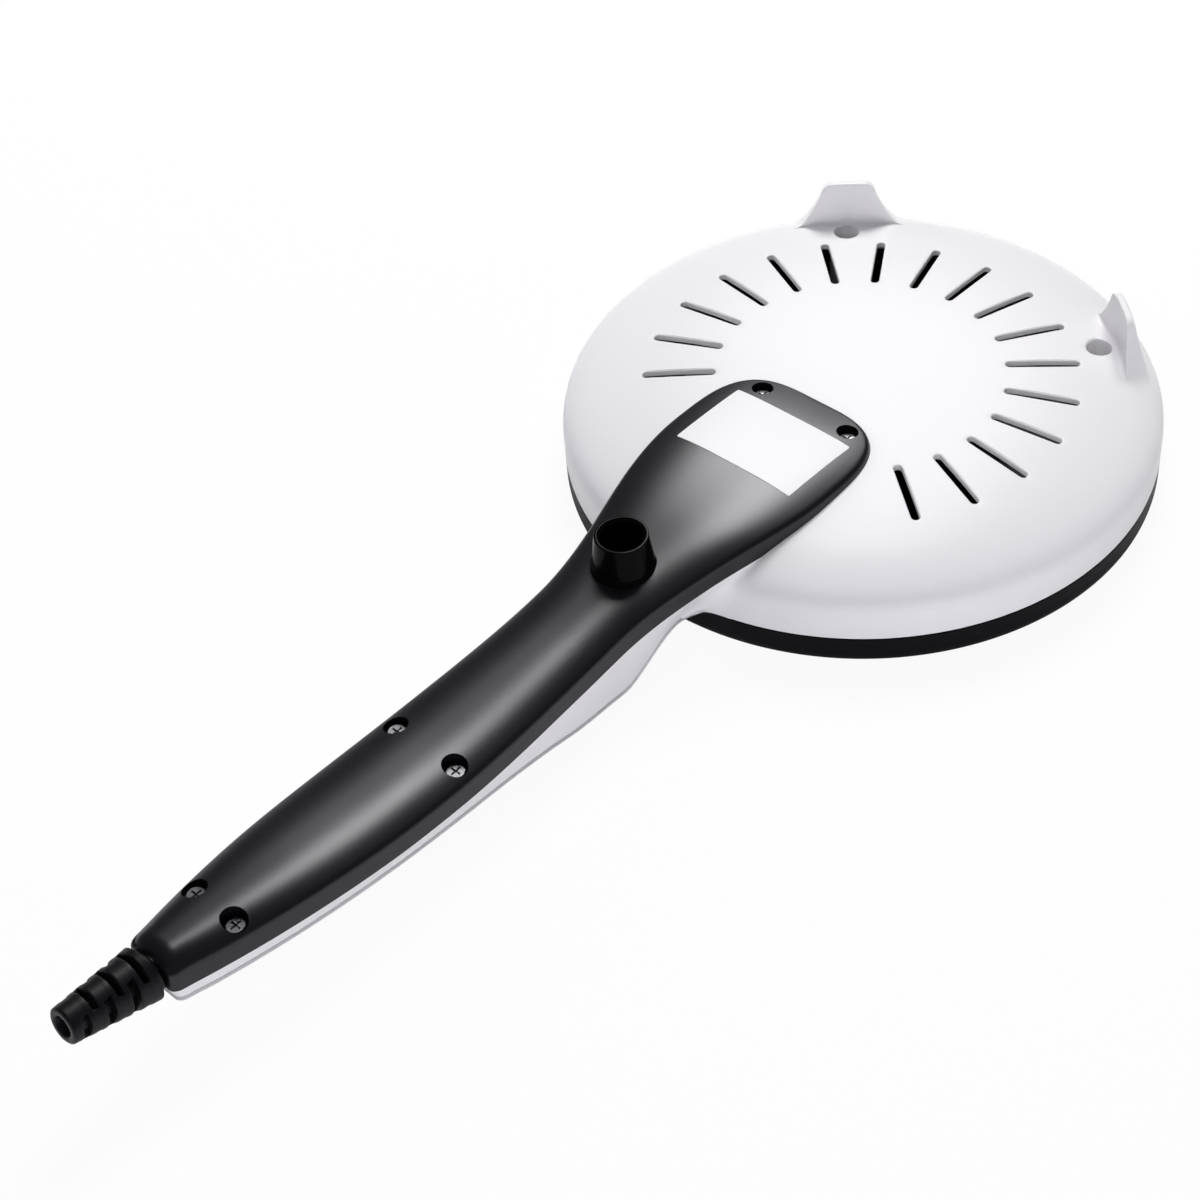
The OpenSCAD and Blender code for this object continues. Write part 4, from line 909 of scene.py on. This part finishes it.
class Graph:
    """The nodes of a material or a world, added one by one."""

    def __init__(self, tree):
        self.tree = tree

    def node(self, kind, settings, inputs, output=0):
        """Adds a node: settings first, then the value or link of each named socket."""
        node = self.tree.nodes.new(kind)
        for key, value in settings.items():
            setattr(node, key, value)
        for key, value in inputs.items():
            self.feed(node.inputs[key], value)
        return Value(self, node.outputs[output])

    def feed(self, socket, value):
        """Links a Value, or sets a number or a colour, whose alpha may be left out."""
        if isinstance(value, Value):
            self.tree.links.new(value.socket, socket)
        elif socket.type == "RGBA" and len(value) == 3:
            socket.default_value = (*value, 1)
        else:
            socket.default_value = value


# %% [markdown]
# ## Finishes
# Moulded plastic is never one flat colour: its gloss and tone cloud a little, and its skin ripples.
# Painted maps would need unwrapping, so each finish is built from noise in the object's own
# coordinates, which fits any shape. Plastic and metal have one recipe each. What sets the finishes
# apart is their colour, their roughness and how strongly they mirror.

# %% The two recipes
class Finish(Graph):
    """A material round one Principled shader."""

    def __init__(self, name):
        self.material = bpy.data.materials.new(name)
        self.material.use_nodes = True
        super().__init__(self.material.node_tree)
        self.shader = self.tree.nodes["Principled BSDF"]
        self.place = self.node("ShaderNodeTexCoord", {}, {}, "Object")

    def noise(self, place, scale, detail):
        """Soft noise from 0 to 1."""
        return self.node("ShaderNodeTexNoise", {},
                         {"Vector": place, "Scale": scale, "Detail": detail})

    def darkened(self, share, colour, shade):
        """The colour where share is 1, and a shade of it where share is 0."""
        return self.node("ShaderNodeMix", {"data_type": "RGBA"},
                         {0: share, 6: [c * shade for c in colour], 7: colour}, 2)

    def bump(self, height, strength, distance):
        """A normal tilted as if the surface had this height."""
        return self.node("ShaderNodeBump", {},
                         {"Height": height, "Strength": strength, "Distance": distance})

    def set(self, **sockets):
        """Feeds the shader's sockets, with _ for the spaces in their names."""
        for key, value in sockets.items():
            self.feed(self.shader.inputs[key.replace("_", " ")], value)


cloud_scale, ripple_scale, ripple, skin_bump, skin_depth = 14.0, 60.0, 0.25, 0.12, 0.0002
line_shade, line_gloss, line_bump, line_depth = 0.8, 0.15, 0.15, 0.0001


def moulded(name, colour, rough, spread=0.03, grain=0.0, grain_scale=2500.0, shade=0.9, level=0.5):
    """Moulded plastic or rubber: faint clouding of colour and gloss, and a fine surface grain."""
    f = Finish(name)
    cloud, wave, fine = [f.noise(f.place, scale, 2.0)
                         for scale in (cloud_scale, ripple_scale, grain_scale)]
    f.set(Base_Color=f.darkened(cloud, colour, shade), IOR=1.5, Specular_IOR_Level=level,
          Roughness=cloud * spread + (rough - spread / 2),
          Normal=f.bump(fine * grain + wave * ripple, skin_bump, skin_depth))
    return f


def metal(name, colour, rough, scratch=(40.0, 900.0)):
    """Plain metal with drawn lines along X and small changes of gloss."""
    f = Finish(name)
    line = f.node("ShaderNodeMapping", {},
                  {"Vector": f.place, "Scale": (scratch[0], scratch[1], scratch[1])})
    lines = f.noise(line, 1.0, 3.0)
    f.set(Base_Color=f.darkened(lines, colour, line_shade), Metallic=1.0,
          Roughness=lines * line_gloss + (rough - 0.07),
          Normal=f.bump(lines, line_bump, line_depth))
    return f


# %% The finishes
finishes = {
    "white_moulding": moulded("white plastic", (0.80, 0.79, 0.80), 0.28, 0.03, 0.1, shade=0.97,
                              level=0.1),
    "black_cover": moulded("black plastic", (0.004, 0.004, 0.006), 0.32, 0.05, 0.8, 2200.0),
    "black_foot": moulded("foot plastic", (0.002, 0.002, 0.002), 0.16, 0.03, 0.1, level=0.05),
    "blank_label": moulded("label film", (0.84, 0.84, 0.84), 0.38, 0.05, 0.4, 1500.0, shade=0.98,
                           level=0.15),
    # The zinc is darkened to 0.3 as painted shade: the heads stand in the shade of counterbores
    # deeper than the imported seats.
    "zinc_screws": metal("zinc", (0.3, 0.3, 0.31), 0.3, (1500.0, 1500.0)),
    "coated_plate": moulded("plate coating", (0.005, 0.005, 0.006), 0.4, 0.08, 1.2, 1800.0,
                            level=0.08),
    "gasket": moulded("gasket silicone", (0.05, 0.05, 0.052), 0.6),
    "heater_tube": metal("heater sheath", (0.10, 0.10, 0.105), 0.5),
    "seals": moulded("seal", (0.68, 0.62, 0.5), 0.7),
    "heater_pins": metal("pin steel", (0.5, 0.5, 0.51), 0.35),
    "shield": metal("shield sheet", (0.10, 0.10, 0.105), 0.5),
    "washers": moulded("fibre", (0.32, 0.24, 0.14), 0.8),
    "thermostat_body": moulded("phenolic", (0.07, 0.03, 0.018), 0.5),
    "sheet_clips": metal("clip steel", (0.5, 0.51, 0.52), 0.35),
    "fuse_case": metal("fuse case", (0.55, 0.42, 0.18), 0.4),
    "sleeve": moulded("woven sleeve", (0.52, 0.46, 0.25), 0.85),
    "brass_parts": metal("brass", (0.6, 0.42, 0.14), 0.3),
    "ivory_block": moulded("ivory plastic", (0.74, 0.66, 0.48), 0.5),
    "grey_clamp": moulded("grey plastic", (0.07, 0.07, 0.075), 0.5),
    "relief_rubber": moulded("rubber", (0.004, 0.004, 0.005), 0.42, 0.1, 1.0, 1500.0, level=0.25),
    "switch_body": moulded("switch plastic", (0.012, 0.012, 0.013), 0.4, 0.05, 0.6),
    "red_rocker": moulded("rocker plastic", (0.32, 0.012, 0.012), 0.25),
    "red_lens": moulded("lens plastic", (0.55, 0.02, 0.01), 0.12),
    "lamp_glass": moulded("lamp glass", (0.8, 0.5, 0.25), 0.1),
    "blue_lead": moulded("blue sleeve", (0.02, 0.07, 0.25), 0.5),
    "green_lead": moulded("green sleeve", (0.17, 0.3, 0.02), 0.5),
    "brown_lead": moulded("brown sleeve", (0.07, 0.03, 0.012), 0.5),
    "red_leads": moulded("red sleeve", (0.25, 0.012, 0.01), 0.5),
}
for node, slot in slots.items():
    thing = dressed.get(node, frame["nodes"][node])
    thing.data.materials.clear()
    thing.data.materials.append(finishes[slot].material)
print(len(finishes), "finishes on", len(slots), "pieces")

# %% [markdown]
# ## Stage, light and camera
# The maker lies on white paper in a white room. A floor lit to pure white would need lamps too
# bright for the dome, so the paper glows for the camera and stays nearly dark to mirrors. A small
# share of it is left matt, which keeps a faint shadow.

# %% The floor
floor_half, mirrored_glow, camera_glow = 6, 0.12, 0.93
corners = [(x * floor_half, y * floor_half, 0) for x, y in ((-1, -1), (1, -1), (1, 1), (-1, 1))]
floor_mesh = bpy.data.meshes.new("floor")
floor_mesh.from_pydata(corners, [], [(0, 1, 2, 3)])
floor = new_object("floor", floor_mesh)
paper = Finish("floor paper")
paper.set(Base_Color=(0.9, 0.9, 0.9), Roughness=0.9, Specular_IOR_Level=0.0)
glow = paper.node("ShaderNodeEmission", {}, {"Color": (1, 1, 1), "Strength": 1.0})
seen = paper.node("ShaderNodeLightPath", {}, {}, "Is Camera Ray")
mirrored, through = seen.output("Is Glossy Ray"), seen.output("Is Transmission Ray")
share = mirrored * mirrored_glow + (seen + through) * camera_glow
matt = Value(paper, paper.shader.outputs[0])
paper.feed(paper.tree.nodes["Material Output"].inputs["Surface"],
           paper.node("ShaderNodeMixShader", {}, {0: share, 1: matt, 2: glow}))
floor_mesh.materials.append(paper.material)

# %% The room: white to the camera, a dim cool grey to everything else
room_glow = 0.12
world = bpy.data.worlds.new("room")
bpy.context.scene.world = world
world.use_nodes = True
room = Graph(world.node_tree)
dim = room.tree.nodes["Background"]
room.feed(dim.inputs["Color"], (0.85, 0.87, 0.92))
room.feed(dim.inputs["Strength"], room_glow)
white = room.node("ShaderNodeBackground", {}, {"Color": (1, 1, 1), "Strength": 1.0})
seen = room.node("ShaderNodeLightPath", {}, {}, "Is Camera Ray")
share = seen + seen.output("Is Transmission Ray")
either = room.node("ShaderNodeMixShader", {}, {0: share, 1: Value(room, dim.outputs[0]), 2: white})
room.feed(room.tree.nodes["World Output"].inputs["Surface"], either)


# %% [markdown]
# ## The lamps
# Softboxes stand round the maker: area lamps, because a sun or a point lamp would draw hard
# shadows. One is overhead, and three fill the sides with a cool tint. A fifth only mirrors: it
# draws the long highlight on the black lid and adds no light to the white dome, which it would
# burn out.

# %% The softboxes
def softbox(name, at, aim, size, power, tint=(1, 1, 1), mirrored=False, lighting=True):
    """A rectangular area lamp at a place, facing a point, all in metres. Only a mirrored one shows
    in glossy surfaces, and only a lighting one lights the matt part of a surface."""
    lamp = bpy.data.lights.new(name, "AREA")
    lamp.shape = "RECTANGLE"
    lamp.size, lamp.size_y = size
    lamp.energy = power
    lamp.color = tint
    thing = new_object(name, lamp)
    thing.location = at
    thing.rotation_euler = Vector(np.subtract(aim, at)).to_track_quat("-Z", "Y").to_euler()
    thing.visible_glossy = mirrored
    thing.visible_diffuse = lighting


cool, pink = (0.95, 0.945, 1.0), (1.0, 0.98, 1.0)
softbox("overhead_box", (0.62, 0.36, 1.08), (-0.1, 0, 0.03), (0.6, 0.5), 14.8)
softbox("mirrored_box", (0.62, 0.47, 1.08), (-0.1, 0, 0.03), (0.38, 0.85), 16.0, pink, True, False)
softbox("fill_box", (-0.95, -0.45, 1.0), (-0.1, 0, 0.02), (0.9, 0.9), 4.2, cool)
softbox("left_box", (-0.45, 1.15, 0.65), (-0.05, 0, 0.02), (0.6, 0.6), 3.8, cool)
softbox("front_box", (-0.6, -1.05, 0.12), (-0.14, 0, 0.01), (0.9, 0.2), 5.6, cool)

# %% [markdown]
# ## The camera
# It looks down past the handle at the dome, with the handle coming towards it. A long lens from
# some distance keeps the near end of the handle from swelling. Its place and turn are set as
# numbers rather than by a tracking constraint, so that the view never shifts when a piece moves.

# %% The camera
eye = bpy.data.cameras.new("camera")
eye.sensor_width = 36
eye.lens = 71.6
viewer = new_object("camera", eye)
viewer.location = (-0.51152, -0.39365, 0.57471)
viewer.rotation_euler = [math.radians(v) for v in (44.9065, 3.9101, -47.6182)]
bpy.context.scene.camera = viewer
bpy.context.scene.view_settings.view_transform = "Standard"
